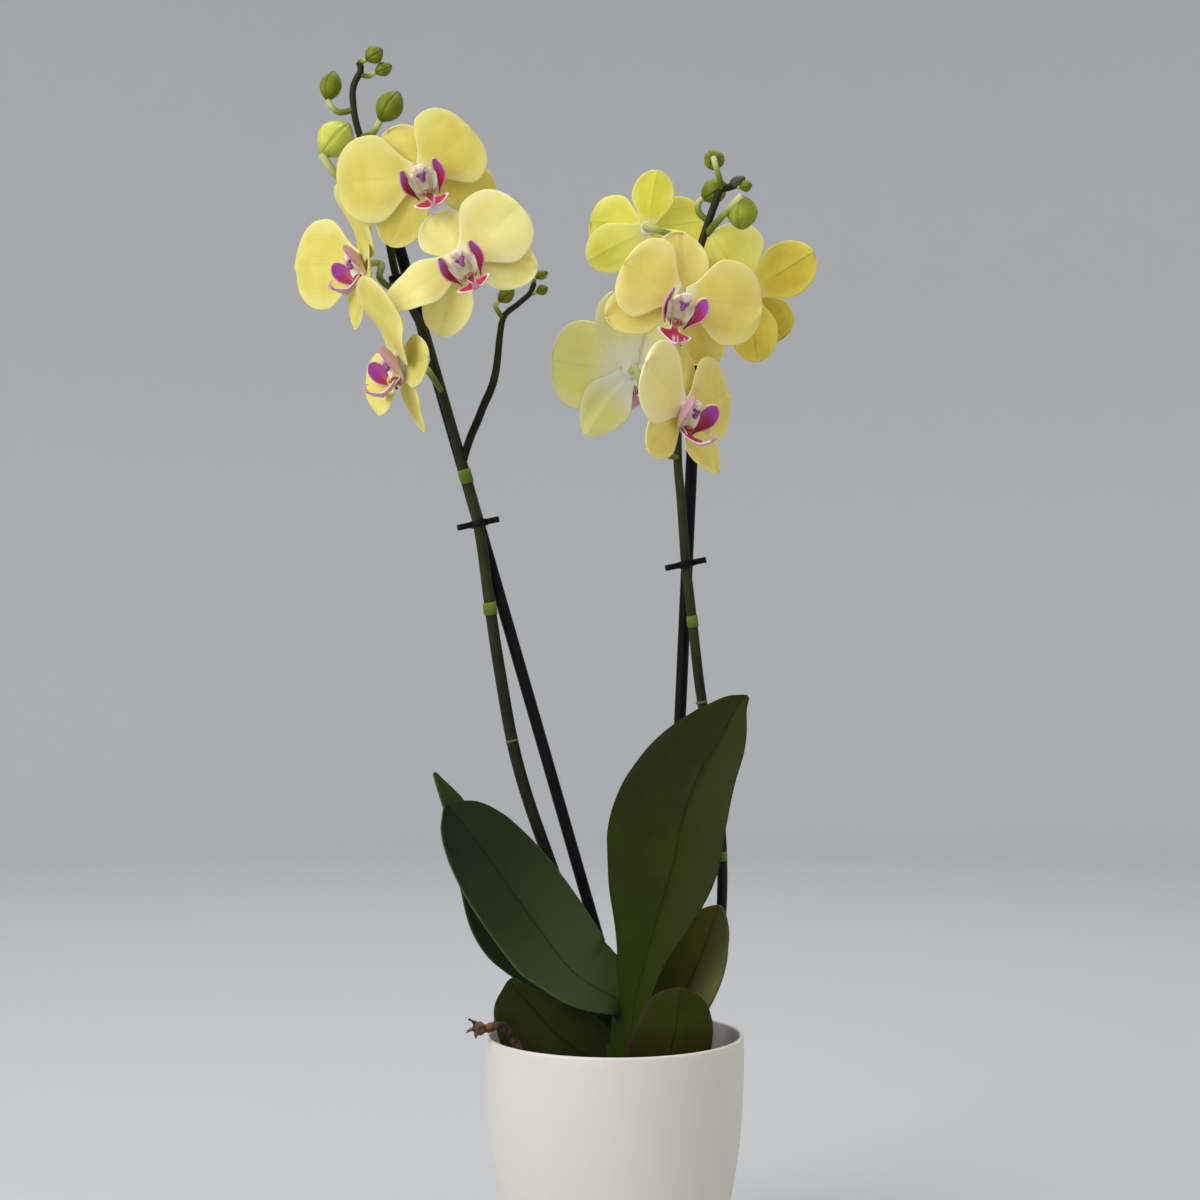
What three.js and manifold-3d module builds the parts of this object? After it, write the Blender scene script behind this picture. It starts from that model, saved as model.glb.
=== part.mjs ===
// A potted moth orchid with two staked flower spikes, in millimetres, +Z up.
// The origin is the centre of the pot's underside, +X is to the right seen from the front (-Y).
import * as THREE from "three";
import { mergeVertices } from "three/addons/utils/BufferGeometryUtils.js";
import Module from "manifold-3d";

const wasm = await Module();
wasm.setup();

// ---- driving dimensions -------------------------------------------------------------------
const CLEARANCE = 0.3; // between pieces that touch on the real plant
const POT_HEIGHT = 125;
const POT_RIM_RADIUS = 67.5;
const POT_BASE_RADIUS = 48;
const POT_WALL = 2.4;
const POT_FLOOR = 4;
const GROW_POT_TOP = 100;
const GROW_POT_RIM_RADIUS = 59;
const GROW_POT_BASE_RADIUS = 42;
const GROW_POT_WALL = 1.2;
const BARK_TOP = 88;
const CHIP_THICKNESS = 5;
const CROWN_RADIUS = 7;
const STAKE_RADIUS = 3.1;
const SEGMENT_THICKNESS = 0.9; // petals and sepals
const SEGMENT_ROOT = 2.4; // where they start, measured from a bloom's axis
const HUB_RADIUS = 4.2;
const HUB_BACK = 3.6; // how far the hub reaches behind a bloom's centre
const PEDICEL_RADIUS = 1.5;
const BUD_STALK_RADIUS = 1.25;
const LATHE_SIDES = 32;
const GROW_POT_SIDES = 24;

const LEAF_GREEN = 0x353b1f;
const STEM_GREEN = 0x3a4027;
const BUD_GREEN = 0x8c9436;
const PETAL_YELLOW = 0xe2d271;
const LIP_MAGENTA = 0x962548;
const POT_WHITE = 0xd8d4cd;
const GROW_POT_GREY = 0xb9bdb6;
const BARK_BROWN = 0x4a3524;
const CROWN_GREY_GREEN = 0x6f7350;
const DRY_BROWN = 0x6b5138;
const BLACK_PLASTIC = 0x121214;

const vec = (x, y, z) => new THREE.Vector3(x, y, z);
const path = (points) => points.map((p) => vec(...p));
const lerp = THREE.MathUtils.lerp;
const smoothstep = THREE.MathUtils.smoothstep;
const radians = THREE.MathUtils.degToRad;

// ---- solids -------------------------------------------------------------------------------

// A closed geometry from points and triangles, turned so that its faces point out.
function closedGeometry(points, triangles) {
  let volume = 0;
  for (const [a, b, c] of triangles) {
    volume += points[a].dot(points[b].clone().cross(points[c]));
  }
  const order = volume < 0 ? [0, 2, 1] : [0, 1, 2];
  const index = triangles.flatMap((t) => order.map((k) => t[k]));
  return new THREE.BufferGeometry().setFromPoints(points).setIndex(index);
}

// Skins a row of rings of equal count and closes both ends.
function loft(rings) {
  const count = rings[0].length;
  const points = rings.flat();
  const triangles = [];
  for (let ring = 0; ring + 1 < rings.length; ring++) {
    for (let k = 0; k < count; k++) {
      const a = ring * count + k;
      const b = ring * count + ((k + 1) % count);
      triangles.push([a, b, a + count], [b, b + count, a + count]);
    }
  }
  const last = points.length - count;
  for (let k = 1; k + 1 < count; k++) {
    triangles.push([0, k + 1, k], [last, last + k, last + k + 1]);
  }
  return closedGeometry(points, triangles);
}

// A round bar along a curve through the points, with its radius given at 0 to 1 of its course.
function tube(points, radiusAt, sides, steps) {
  const curve = new THREE.CatmullRomCurve3(points, false, "centripetal");
  const normal = vec(0.31, 0.83, 0.47);
  const rings = [];
  for (let i = 0; i <= steps; i++) {
    const centre = curve.getPoint(i / steps);
    const tangent = curve.getTangent(i / steps);
    normal.addScaledVector(tangent, -normal.dot(tangent)).normalize();
    const binormal = tangent.clone().cross(normal);
    const ring = [];
    for (let k = 0; k < sides; k++) {
      const angle = (2 * Math.PI * k) / sides;
      const spoke = normal.clone().multiplyScalar(Math.cos(angle));
      spoke.addScaledVector(binormal, Math.sin(angle));
      ring.push(centre.clone().addScaledVector(spoke, radiusAt(i / steps)));
    }
    rings.push(ring);
  }
  return loft(rings);
}

// A thin blade over a surface u = 0..1 from root to tip, v = -1..1 across, both faces split alike.
function blade(surface, rows, columns, thicknessAt) {
  const front = [];
  const back = [];
  const step = 1e-3;
  for (let i = 0; i <= rows; i++) {
    for (let k = 0; k <= columns; k++) {
      const u = i / rows;
      const v = -1 + (2 * k) / columns;
      const along = surface(u + step, v).sub(surface(u - step, v));
      const across = surface(u, v + step).sub(surface(u, v - step));
      const normal = across.cross(along).normalize();
      const half = thicknessAt(u, v) / 2;
      front.push(surface(u, v).addScaledVector(normal, half));
      back.push(surface(u, v).addScaledVector(normal, -half));
    }
  }
  const count = front.length;
  const at = (i, k) => i * (columns + 1) + k;
  const triangles = [];
  for (let i = 0; i < rows; i++) {
    for (let k = 0; k < columns; k++) {
      const [a, b, c, d] = [at(i, k), at(i, k + 1), at(i + 1, k + 1), at(i + 1, k)];
      triangles.push([a, b, c], [a, c, d]);
      triangles.push([a + count, c + count, b + count], [a + count, d + count, c + count]);
    }
  }
  const border = [];
  for (let k = 0; k < columns; k++) border.push(at(0, k));
  for (let i = 0; i < rows; i++) border.push(at(i, columns));
  for (let k = columns; k > 0; k--) border.push(at(rows, k));
  for (let i = rows; i > 0; i--) border.push(at(i, 0));
  border.forEach((a, n) => {
    const b = border[(n + 1) % border.length];
    triangles.push([b, a, a + count], [b, a + count, b + count]);
  });
  return closedGeometry([...front, ...back], triangles);
}

// A solid of revolution about +Z from a profile of [radius, z], closed on itself or on the axis.
function turned(profile, sides = LATHE_SIDES) {
  const points = profile.map(([radius, z]) => new THREE.Vector2(radius, z));
  return new THREE.LatheGeometry(points, sides).rotateX(Math.PI / 2);
}

function solidOf(geometry) {
  const bare = geometry.clone();
  bare.deleteAttribute("normal");
  bare.deleteAttribute("uv");
  const merged = mergeVertices(bare, 1e-3);
  return new wasm.Manifold(
    new wasm.Mesh({
      numProp: 3,
      vertProperties: merged.attributes.position.array,
      triVerts: new Uint32Array(merged.index.array),
    }),
  );
}

function geometryOf(solid) {
  const mesh = solid.getMesh();
  return new THREE.BufferGeometry()
    .setAttribute("position", new THREE.BufferAttribute(mesh.vertProperties, mesh.numProp))
    .setIndex(new THREE.BufferAttribute(mesh.triVerts, 1));
}

const fuse = (geometries) =>
  geometryOf(geometries.map(solidOf).reduce((whole, next) => whole.add(next)));

const cut = (geometry, tools) =>
  geometryOf(tools.map(solidOf).reduce((whole, tool) => whole.subtract(tool), solidOf(geometry)));

function node(name, geometry, color, roughness = 0.5, metalness = 0) {
  const material = new THREE.MeshStandardMaterial({ color, roughness, metalness });
  const mesh = new THREE.Mesh(geometry, material);
  mesh.name = name;
  return mesh;
}

// Repeatable draws between 0 and 1.
function drawsFrom(seed) {
  let state = seed;
  return () => {
    state = (state * 1664525 + 1013904223) % 4294967296;
    return state / 4294967296;
  };
}

// ---- pots and bark ------------------------------------------------------------------------

// The pot's outer radius: nearly upright under the rim, then rounding in to the base.
function potRadiusAt(z) {
  const drop = 1 - z / POT_HEIGHT;
  return POT_RIM_RADIUS - (POT_RIM_RADIUS - POT_BASE_RADIUS) * drop ** 2.7;
}

function outerPot() {
  const outside = [];
  const inside = [];
  for (const share of [0.06, 0.2, 0.36, 0.54, 0.76, 0.98]) {
    const z = POT_HEIGHT * share;
    outside.push([potRadiusAt(z), z]);
  }
  for (const share of [0.76, 0.5, 0.25]) {
    const z = POT_HEIGHT * share;
    inside.push([potRadiusAt(z) - POT_WALL, z]);
  }
  return turned([
    [0, 0],
    [potRadiusAt(0) - 4, 0],
    ...outside,
    [POT_RIM_RADIUS - POT_WALL * 0.3, POT_HEIGHT],
    [POT_RIM_RADIUS - POT_WALL, POT_HEIGHT - 0.8],
    ...inside,
    [potRadiusAt(POT_FLOOR) - POT_WALL - 4, POT_FLOOR],
    [0, POT_FLOOR],
  ]);
}

const GROW_POT_BOTTOM = POT_FLOOR + CLEARANCE;

// The outer radius of the tapered nursery pot.
function growRadiusAt(z) {
  const share = (z - GROW_POT_BOTTOM) / (GROW_POT_TOP - GROW_POT_BOTTOM);
  return lerp(GROW_POT_BASE_RADIUS, GROW_POT_RIM_RADIUS - 2, share);
}

function growPot() {
  const floor = GROW_POT_BOTTOM + GROW_POT_WALL;
  const lipBottom = GROW_POT_TOP - 3;
  return turned(
    [
      [0, GROW_POT_BOTTOM],
      [GROW_POT_BASE_RADIUS, GROW_POT_BOTTOM],
      [growRadiusAt(lipBottom), lipBottom],
      [GROW_POT_RIM_RADIUS, lipBottom],
      [GROW_POT_RIM_RADIUS, GROW_POT_TOP],
      [growRadiusAt(GROW_POT_TOP) - GROW_POT_WALL, GROW_POT_TOP],
      [growRadiusAt(floor) - GROW_POT_WALL, floor],
      [0, floor],
    ],
    GROW_POT_SIDES,
  );
}

// Packed bark with loose chips standing out of its top, and plain holes for what stands in it.
function bark(standing) {
  const bottom = GROW_POT_BOTTOM + GROW_POT_WALL + CLEARANCE;
  const gap = GROW_POT_WALL + 2 * CLEARANCE;
  const packed = turned(
    [
      [0, bottom],
      [growRadiusAt(bottom) - gap, bottom],
      [growRadiusAt(BARK_TOP) - gap, BARK_TOP - 3],
      [growRadiusAt(BARK_TOP) - gap - 5, BARK_TOP],
      [0, BARK_TOP + 1],
    ],
    GROW_POT_SIDES,
  );
  const draw = drawsFrom(11);
  const chips = [];
  for (const [radius, count] of [[15, 3], [29, 4], [42, 5]]) {
    for (let k = 0; k < count; k++) {
      const angle = (2 * Math.PI * (k + 0.6 * draw())) / count;
      const chip = new THREE.BoxGeometry(13 + 6 * draw(), 9 + 4 * draw(), CHIP_THICKNESS);
      chip.rotateX(0.7 * draw() - 0.35);
      chip.rotateY(0.7 * draw() - 0.35);
      chip.rotateZ(Math.PI * draw());
      chip.translate(radius * Math.cos(angle), radius * Math.sin(angle), BARK_TOP + draw());
      chips.push(chip);
    }
  }
  return cut(fuse([packed, ...chips]), standing);
}

// ---- stakes -------------------------------------------------------------------------------
const LEFT_STAKE = path([[34, 18.7, 24], [-113, -8, 552]]);
const RIGHT_STAKE = path([[23, 31.5, 20], [42.6, 2.5, 474]]);

const stake = ([bottom, top], radius = STAKE_RADIUS) =>
  tube([bottom, top], (t) => radius * (t > 0.995 ? 0.8 : 1), 8, 2);

const pointOn = ([bottom, top], z) =>
  bottom.clone().lerp(top, (z - bottom.z) / (top.z - bottom.z));

// ---- flower spikes ------------------------------------------------------------------------
const LEFT_STEM = path([
  [-3, 9.5, 102], [-6.1, 11, 120], [-11.9, 10, 149], [-20.3, 6, 175.6], [-30.7, 4, 204.7],
  [-44.3, 1, 244], [-53.6, -1, 278], [-59.9, -3, 313.6], [-65, -4, 348.6], [-70.2, -6, 390.3],
  [-77.9, -10, 426.6], [-85.6, -13, 455], [-94.7, -17, 483], [-101.8, -21, 503.7],
  [-108.3, -24, 525.6], [-114.3, -25, 544.4], [-121.9, -25, 567.2], [-127.9, -25, 582.3],
  [-132.9, -25, 597.5], [-134.3, -25, 610.6], [-133, -25, 616.7], [-130.1, -25, 622.2],
  [-131.1, -25, 626.3],
]);
const BRANCH = path([
  [-77.9, -10, 426.6], [-76, -11, 433.7], [-68.7, -13, 449.5], [-62.4, -15, 464.7],
  [-60.3, -16, 478], [-57.7, -17, 496], [-49.9, -18, 503.6], [-43.7, -18, 509],
  [-41.7, -18, 514.4],
]);
const RIGHT_STEM = path([
  [4.5, 8.5, 104], [12, 7.5, 109], [28, 10, 118], [46.5, 12, 140.5], [51.8, 12, 153.7],
  [55.4, 11, 177.5], [56.4, 9, 193.5], [56.3, 6, 217.3], [54.7, 4, 241.6], [51, 2, 272.6],
  [45.7, 1, 297.8], [41.7, 0, 330.3], [39.2, -1, 351.2], [36.9, -2, 370.5], [36.1, -3, 382.5],
  [34.6, -4, 403.4], [33, -5, 419.1], [32.5, -5, 434.8], [33.1, -5, 455.8], [35.2, -5, 482.1],
  [39.4, -4, 513.5], [43.6, -3, 531.7], [46.9, -2, 542.2], [49.8, -1, 550.9], [52.6, -1, 558.6],
  [55, -2, 565.1], [59.5, -2, 566.4], [63.9, -2, 568.3],
]);

// Buds: the course of each one's own stalk, its tip and its width.
const LEFT_BUDS = [
  [[[-131, -25, 626], [-128.5, -26, 627], [-127.5, -26, 627.5]], [-119, -25, 633], 9.5],
  [[[-130.5, -25, 620], [-126, -24, 619.5], [-123, -23, 621.5]], [-114.5, -22, 625.5], 7.5],
  [[[-134, -25, 602], [-142, -25, 601], [-147.3, -25, 607]], [-144, -24, 622], 11.5],
  [[[-130, -25, 588], [-124, -26, 590], [-120, -27, 596]], [-110.5, -26, 611], 14],
  [[[-122, -25, 567], [-140, -26, 567], [-150, -27, 579]], [-136, -24, 595], 19],
  [[[-57.5, -17, 496], [-61.5, -19, 502], [-60, -19, 505]], [-52, -18, 511], 8],
  [[[-44, -18, 509], [-42, -18, 509], [-40.5, -18, 509.5]], [-34.5, -18, 512], 5.6],
  [[[-41.7, -18, 514], [-41.5, -18, 516], [-41, -18, 517]], [-34.5, -18, 520], 5],
];
const RIGHT_BUDS = [
  [[[53.5, -1.2, 561.5], [51.5, -6, 569], [50.5, -8, 575]], [54, -4, 584.5], 10.5],
  [[[48, -1.5, 546], [45, 2, 552], [46.5, 4, 558]], [51, 5, 571], 9.5],
  [[[49, -1, 548], [55, -5, 549], [60, -8, 549]], [73, -8, 556], 15],
  [[[64, -2, 568], [65, -3, 568], [66, -3.5, 567.5]], [70.5, -4, 565], 6],
];

function bud([stalk, tip, width]) {
  const course = path(stalk);
  const swell = (t) => Math.max(0.28, Math.sin(Math.PI * (0.08 + 0.84 * t)) ** 0.75);
  return [
    tube(course, () => BUD_STALK_RADIUS, 4, course.length - 1),
    tube([course.at(-1), vec(...tip)], (t) => (width / 2) * swell(t), 6, 5),
  ];
}

// A dry sheath round a joint of the stem.
const sheath = (from, to, radius) =>
  tube([from, to], (t) => radius * (1 + 0.22 * Math.sin(Math.PI * (0.15 + 0.6 * t))), 6, 2);

// A flower stalk from the stem to just behind a bloom's hub.
function pedicel(start, bloom, via = []) {
  const points = [
    start,
    ...path(via),
    behind(bloom, HUB_BACK + 11),
    behind(bloom, HUB_BACK + CLEARANCE),
  ];
  return tube(points, (t) => PEDICEL_RADIUS * lerp(1, 1.25, t), 5, 5);
}

// ---- blooms -------------------------------------------------------------------------------
// azimuth turns a bloom from facing the front towards +X, elevation lifts its face and roll
// leans its top to its own viewer's left. The petal and sepal entries hold what differs from
// the common PETAL and SEPAL.
const BLOOMS = [
  { name: "left_1", centre: [-98.9, -57, 562.8], azimuth: 4, elevation: -5, roll: 27 },
  {
    name: "left_2", centre: [-77, -62, 519.4], azimuth: 0, elevation: 0, roll: 35,
    leftPetal: { angle: -88, length: 46, halfWidth: 16, twist: -35, sweep: -6 },
  },
  {
    name: "left_3", centre: [-129.8, -13.5, 525.3], azimuth: -65, elevation: 0, roll: 24,
    rightPetal: { sweep: -27 },
    leftPetal: { sweep: -27 },
    rightSepal: { sweep: -20 },
  },
  {
    name: "left_4", centre: [-109.4, -50, 471.5], azimuth: -68, elevation: 0, roll: 50,
    rightPetal: { sweep: -34 },
    leftPetal: { sweep: -15, length: 33 },
    rightSepal: { sweep: -12 },
  },
  {
    name: "right_1", centre: [35.3, -48, 502.8], azimuth: 8, elevation: 0, roll: -24,
    rightSepal: { sweep: 26 },
  },
  {
    name: "right_2", centre: [31.5, -58, 446.5], azimuth: 52, elevation: 0, roll: -10,
    rightPetal: { sweep: 0 },
    leftPetal: { sweep: 0 },
  },
  {
    name: "right_3", centre: [17.7, 32, 550], azimuth: 180, elevation: 0, roll: 2, scale: 0.9,
    rightPetal: { length: 33, halfWidth: 17, sweep: -28 },
    leftPetal: { length: 33, halfWidth: 17, sweep: -28 },
  },
  {
    name: "right_4", centre: [8.3, 28, 473.5], azimuth: 197, elevation: 0, roll: -16, scale: 1.1,
  },
  {
    name: "right_5", centre: [75.7, 22, 514.7], azimuth: 172, elevation: 0, roll: 52,
    rightPetal: { angle: 84, length: 37 },
    leftPetal: { angle: -80, length: 30, halfWidth: 16, sweep: -45 },
  },
];
const bloomNamed = (name) => BLOOMS.find((bloom) => bloom.name === name);

// The turn that takes a bloom's own axes (+Z out of its face, +Y to its top) to its place.
function facing({ azimuth, elevation, roll }) {
  const a = radians(azimuth);
  const e = radians(elevation);
  const r = radians(roll);
  const out = vec(Math.sin(a) * Math.cos(e), -Math.cos(a) * Math.cos(e), Math.sin(e));
  const level = vec(Math.cos(a), Math.sin(a), 0);
  const upright = out.clone().cross(level);
  const top = upright.multiplyScalar(Math.cos(r)).addScaledVector(level, -Math.sin(r));
  const side = top.clone().cross(out);
  return new THREE.Matrix4().makeBasis(side, top, out);
}

function behind(bloom, distance) {
  const out = vec(0, 0, 1).applyMatrix4(facing(bloom));
  return vec(...bloom.centre).addScaledVector(out, -distance * (bloom.scale ?? 1));
}

// Half-width share of a petal or sepal: a claw at the root, widest near its middle, a round tip.
function outline(u, claw, widest, tip) {
  const beyond = Math.max(0, (u - widest) / (1 - widest));
  const rounding = Math.sqrt(1 - (1 - tip * tip) * beyond ** 2);
  return lerp(claw, 1, smoothstep(u, 0, widest)) * rounding;
}

// One petal or sepal standing out from the hub at an angle from the bloom's top.
function segment(shape) {
  const turn = radians(shape.angle);
  const along = vec(Math.sin(turn), Math.cos(turn), 0);
  const surface = (u, v) => {
    const reach = lerp(SEGMENT_ROOT, shape.length, u) - shape.tipDrop * v * v * u ** 6;
    const half = shape.halfWidth * outline(Math.min(1, Math.max(0, u)), ...shape.outline);
    const twist = radians(shape.twist ?? 0) * smoothstep(u, 0.25, 0.6);
    const across = vec(Math.cos(turn), -Math.sin(turn), 0).multiplyScalar(Math.cos(twist));
    across.z = Math.sin(twist);
    const bent = reach ** 2 / (reach + 6);
    const fall = bent * Math.tan(radians(shape.sweep)) + shape.curl * u ** 3;
    const height = shape.lift - fall + shape.cup * v * v * u;
    return vec(0, 0, height).addScaledVector(along, reach).addScaledVector(across, half * v);
  };
  return blade(surface, shape.rows, shape.columns, () => SEGMENT_THICKNESS);
}

const PETAL_ANGLE = 68;
const LATERAL_ANGLE = 128;
const DORSAL_LENGTH = 34;
const PETAL = {
  length: 41, halfWidth: 22, outline: [0.16, 0.52, 0.5], tipDrop: 4, lift: 1.3,
  sweep: 8, curl: 2, cup: -1.5, rows: 5, columns: 4,
};
const SEPAL = {
  length: 38, halfWidth: 13, outline: [0.3, 0.5, 0.3], tipDrop: 1.6, lift: -1,
  sweep: 10, curl: 2, cup: 1.2, rows: 4, columns: 2,
};

function perianth(bloom) {
  const sepal = (angle, more) => segment({ ...SEPAL, angle, ...more });
  const petal = (angle, more) => segment({ ...PETAL, angle, ...more });
  const hub = new THREE.SphereGeometry(HUB_RADIUS, 8, 4).scale(1, 1, HUB_BACK / HUB_RADIUS);
  const column = tube(
    [vec(0, 0, 0), vec(0, 2, 5), vec(0, 2.2, 10)],
    (t) => lerp(2.4, 3, t) * (t === 1 ? 0.6 : 1),
    5,
    3,
  );
  return fuse([
    sepal(0, { length: DORSAL_LENGTH }),
    sepal(LATERAL_ANGLE, bloom.rightSepal),
    sepal(-LATERAL_ANGLE),
    petal(PETAL_ANGLE, bloom.rightPetal),
    petal(-PETAL_ANGLE, bloom.leftPetal),
    hub,
    column,
  ]);
}

// The three-lobed lip under the column: two upright side lobes and an arrow-shaped front lobe.
function lip() {
  const callus = tube([vec(0, -5.2, 3), vec(0, -8.5, 6), vec(0, -11.2, 10.5)], () => 2.1, 4, 2);
  const sideLobe = (side) =>
    blade(
      (u, v) => {
        const bulge = Math.sin(Math.PI * (0.06 + 0.79 * u));
        const half = lerp(1.6, 4.6, Math.sin(Math.PI * (0.1 + 0.8 * u)));
        const spread = side * (0.5 + 8.6 * bulge + 0.6 * half * v);
        return vec(spread, -12 + 15.5 * u, 9.5 + 1.5 * u + 0.8 * half * v);
      },
      3,
      2,
      () => 1,
    );
  const front = blade(
    (u, v) => {
      const arms = 8.4 * Math.max(0, 1 - Math.abs(u - 0.6) / 0.24);
      const half = lerp(2.6, 1.6, u) + arms;
      const lift = 0.05 * (half * v) ** 2;
      return vec(half * v, -11 - 9 * u + 3.5 * u ** 3, 9 + 11 * u + lift);
    },
    5,
    2,
    () => 1.3,
  );
  return fuse([callus, sideLobe(1), sideLobe(-1), front]);
}

function bloomGroup(bloom) {
  const group = new THREE.Group();
  group.position.set(...bloom.centre);
  group.setRotationFromMatrix(facing(bloom));
  group.scale.setScalar(bloom.scale ?? 1);
  group.add(node(`bloom_${bloom.name}`, perianth(bloom), PETAL_YELLOW, 0.55));
  group.add(node(`lip_${bloom.name}`, lip(), LIP_MAGENTA, 0.45));
  return group;
}

// ---- leaves, crown and roots --------------------------------------------------------------
// Each leaf: its midrib from the crown to the tip, the way its upper side faces, its half-widths
// as [share of the length, millimetres] and how far both halves fold up from the midrib.
const LEAVES = [
  {
    name: "leaf_tall_right",
    midrib: [
      [6.5, -9.5, 104], [8.5, -13, 119], [13.5, -15, 143], [19, -17, 167], [25, -19, 190],
      [31, -20, 217], [35.5, -20, 240], [43.5, -19, 261], [54, -18, 279], [62.5, -18, 295],
      [68.5, -19, 302],
    ],
    face: [-0.65, -0.76, 0.1],
    halfWidths: [
      [0, 9], [0.21, 14.5], [0.32, 20.5], [0.45, 33], [0.57, 38], [0.68, 36.5], [0.79, 29.5],
      [0.89, 20], [0.95, 11], [1, 3],
    ],
    fold: 24,
  },
  {
    name: "leaf_big_left",
    midrib: [
      [-12, -6, 101], [-12.5, -13, 122], [-12, -20, 146], [-20.5, -26, 162.5], [-38.3, -29, 183],
      [-58.7, -29, 208], [-74, -28, 231], [-86.5, -27, 247],
    ],
    face: [0.35, -0.85, 0.4],
    halfWidths: [
      [0, 7], [0.15, 10], [0.3, 16], [0.42, 21], [0.55, 25], [0.72, 25], [0.85, 22], [0.94, 17],
      [1, 5],
    ],
    fold: 14,
  },
  {
    name: "leaf_hooked_left",
    midrib: [
      [-11, 0, 97], [-12, -2, 118], [-24, -4, 136], [-44.8, -5, 146], [-57, -5, 159],
      [-66, -4, 177], [-72, -3, 204], [-80, -1, 234], [-94.5, 2, 261],
    ],
    face: [0.5, -0.65, 0.55],
    halfWidths: [[0, 7], [0.2, 9], [0.4, 16], [0.55, 17], [0.75, 14], [0.9, 8], [1, 2]],
    fold: 12,
  },
  {
    name: "leaf_low_left",
    midrib: [
      [-11, 14, 98], [-15, 16, 108], [-25, 17, 117], [-36, 18, 126], [-47, 19, 137],
      [-59, 20, 151],
    ],
    face: [0.3, -0.85, 0.45],
    halfWidths: [[0, 8], [0.25, 17], [0.5, 24], [0.75, 24], [0.93, 15], [1, 6]],
    fold: 8,
  },
  {
    name: "leaf_short_front",
    midrib: [
      [9, -9.5, 95.5], [17, -21, 97.5], [24.5, -30.5, 110], [30, -36, 130], [33, -37, 142],
      [34.5, -37, 151],
    ],
    face: [0, 0.75, 0.65],
    halfWidths: [[0, 6], [0.25, 10], [0.45, 21], [0.65, 19], [0.85, 14], [1, 6]],
    fold: 8,
  },
  {
    name: "leaf_mid_right",
    midrib: [
      [13.5, -1.5, 97], [21, -2, 118], [32, -2, 138], [42, -4, 158], [49, -5, 176.5],
      [55, -6, 192.5],
    ],
    face: [-0.55, -0.82, 0.1],
    halfWidths: [[0, 8], [0.2, 12], [0.45, 19], [0.7, 19], [0.88, 13], [1, 4]],
    fold: 20,
  },
];

// A value between the stations of a list of [share, value].
function between(stations, share) {
  const next = Math.max(1, stations.findIndex(([at]) => at >= share));
  const [[a, low], [b, high]] = [stations[next - 1], stations[next]];
  return THREE.MathUtils.mapLinear(share, a, b, low, high);
}

function leaf({ midrib, face, halfWidths, fold }) {
  const curve = new THREE.CatmullRomCurve3(path(midrib), false, "centripetal");
  const upper = vec(...face);
  const surface = (u, v) => {
    const share = Math.min(1, Math.max(0, u));
    const along = curve.getTangentAt(share);
    const up = upper.clone().addScaledVector(along, -upper.dot(along)).normalize();
    const side = along.clone().cross(up);
    const half = between(halfWidths, share);
    const raise = Math.tan(radians(fold)) * half * (Math.hypot(v, 0.25) - 0.25);
    return curve
      .getPointAt(share)
      .addScaledVector(along, (u - share) * curve.getLength() - 2 * v * v * share ** 6)
      .addScaledVector(side, half * v)
      .addScaledVector(up, raise);
  };
  return blade(surface, 12, 4, (u, v) => lerp(2, 1, Math.abs(v)) * lerp(1.3, 0.8, u));
}

// Roots over and into the bark, each as [start, ..., end].
const ROOTS = [
  [[0, 0, 84], [12, -16, 87], [20, -32, 86], [24, -42, 72]],
  [[0, 0, 84], [-16, -14, 87], [-30, -22, 86], [-36, -26, 72]],
  [[0, 0, 82], [20, 4, 87], [34, 8, 86], [43, 9, 72]],
];

const root = (points, extra) =>
  tube(path(points), (t) => lerp(2.9, 2.1, t) + extra, 5, 4);
const CROWN_STEM = path([[0, 0, 78], [0.5, 0, 98], [1, 0, 119]]);
const crownStem = (extra) =>
  tube(CROWN_STEM, (t) => CROWN_RADIUS * lerp(1, 0.7, t) + extra, 9, 4);

// The short stem and the roots it stands on, made thicker by extra for the holes in the bark.
const crown = (extra = 0) => [crownStem(extra), ...ROOTS.map((points) => root(points, extra))];

// The dried root that left the pot over its rim, with its shrivelled end outside.
const DRY_ROOT = path([
  [-34, 0, 80], [-42, -3, 98], [-50, -7, 114], [-55.9, -10, 124], [-59.4, -12, 131],
  [-63, -15, 133.5], [-67.4, -18, 132], [-72, -20, 130.5],
]);
const dryRootBar = (extra = 0) => tube(DRY_ROOT, (t) => lerp(2.6, 2.2, t) + extra, 5, 8);

const DRY_KNOB = vec(-73, -20.5, 131);
const DRY_STUB_ENDS = path([[-79, -21, 136], [-80, -24, 129], [-76, -25, 126]]);

function dryRoot() {
  const knob = new THREE.SphereGeometry(4, 6, 4).translate(...DRY_KNOB);
  const stubs = DRY_STUB_ENDS.map((end) => tube([DRY_KNOB, end], (t) => lerp(1.5, 0.9, t), 4, 1));
  return fuse([dryRootBar(), knob, ...stubs]);
}

// ---- clips --------------------------------------------------------------------------------
const CLIP_HEIGHT = 3;
const CLIP_WALL = 1.5;

// A loop of black plastic round a stem and its stake, at the height of the point on the stem.
function clip(stemPoint, stakeLine, innerRadius) {
  const reach = pointOn(stakeLine, stemPoint.z).sub(stemPoint);
  reach.z = 0;
  const length = reach.length();
  const outlineOf = (Kind, radius) =>
    new Kind()
      .absarc(length, 0, radius, -Math.PI / 2, Math.PI / 2, false)
      .absarc(0, 0, radius, Math.PI / 2, (3 * Math.PI) / 2, false);
  const shape = outlineOf(THREE.Shape, innerRadius + CLIP_WALL);
  shape.holes.push(outlineOf(THREE.Path, innerRadius));
  const band = new THREE.ExtrudeGeometry(shape, {
    depth: CLIP_HEIGHT,
    bevelEnabled: false,
    curveSegments: 4,
  });
  band.rotateZ(Math.atan2(reach.y, reach.x));
  band.translate(stemPoint.x, stemPoint.y, stemPoint.z - CLIP_HEIGHT / 2);
  return band;
}

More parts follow.
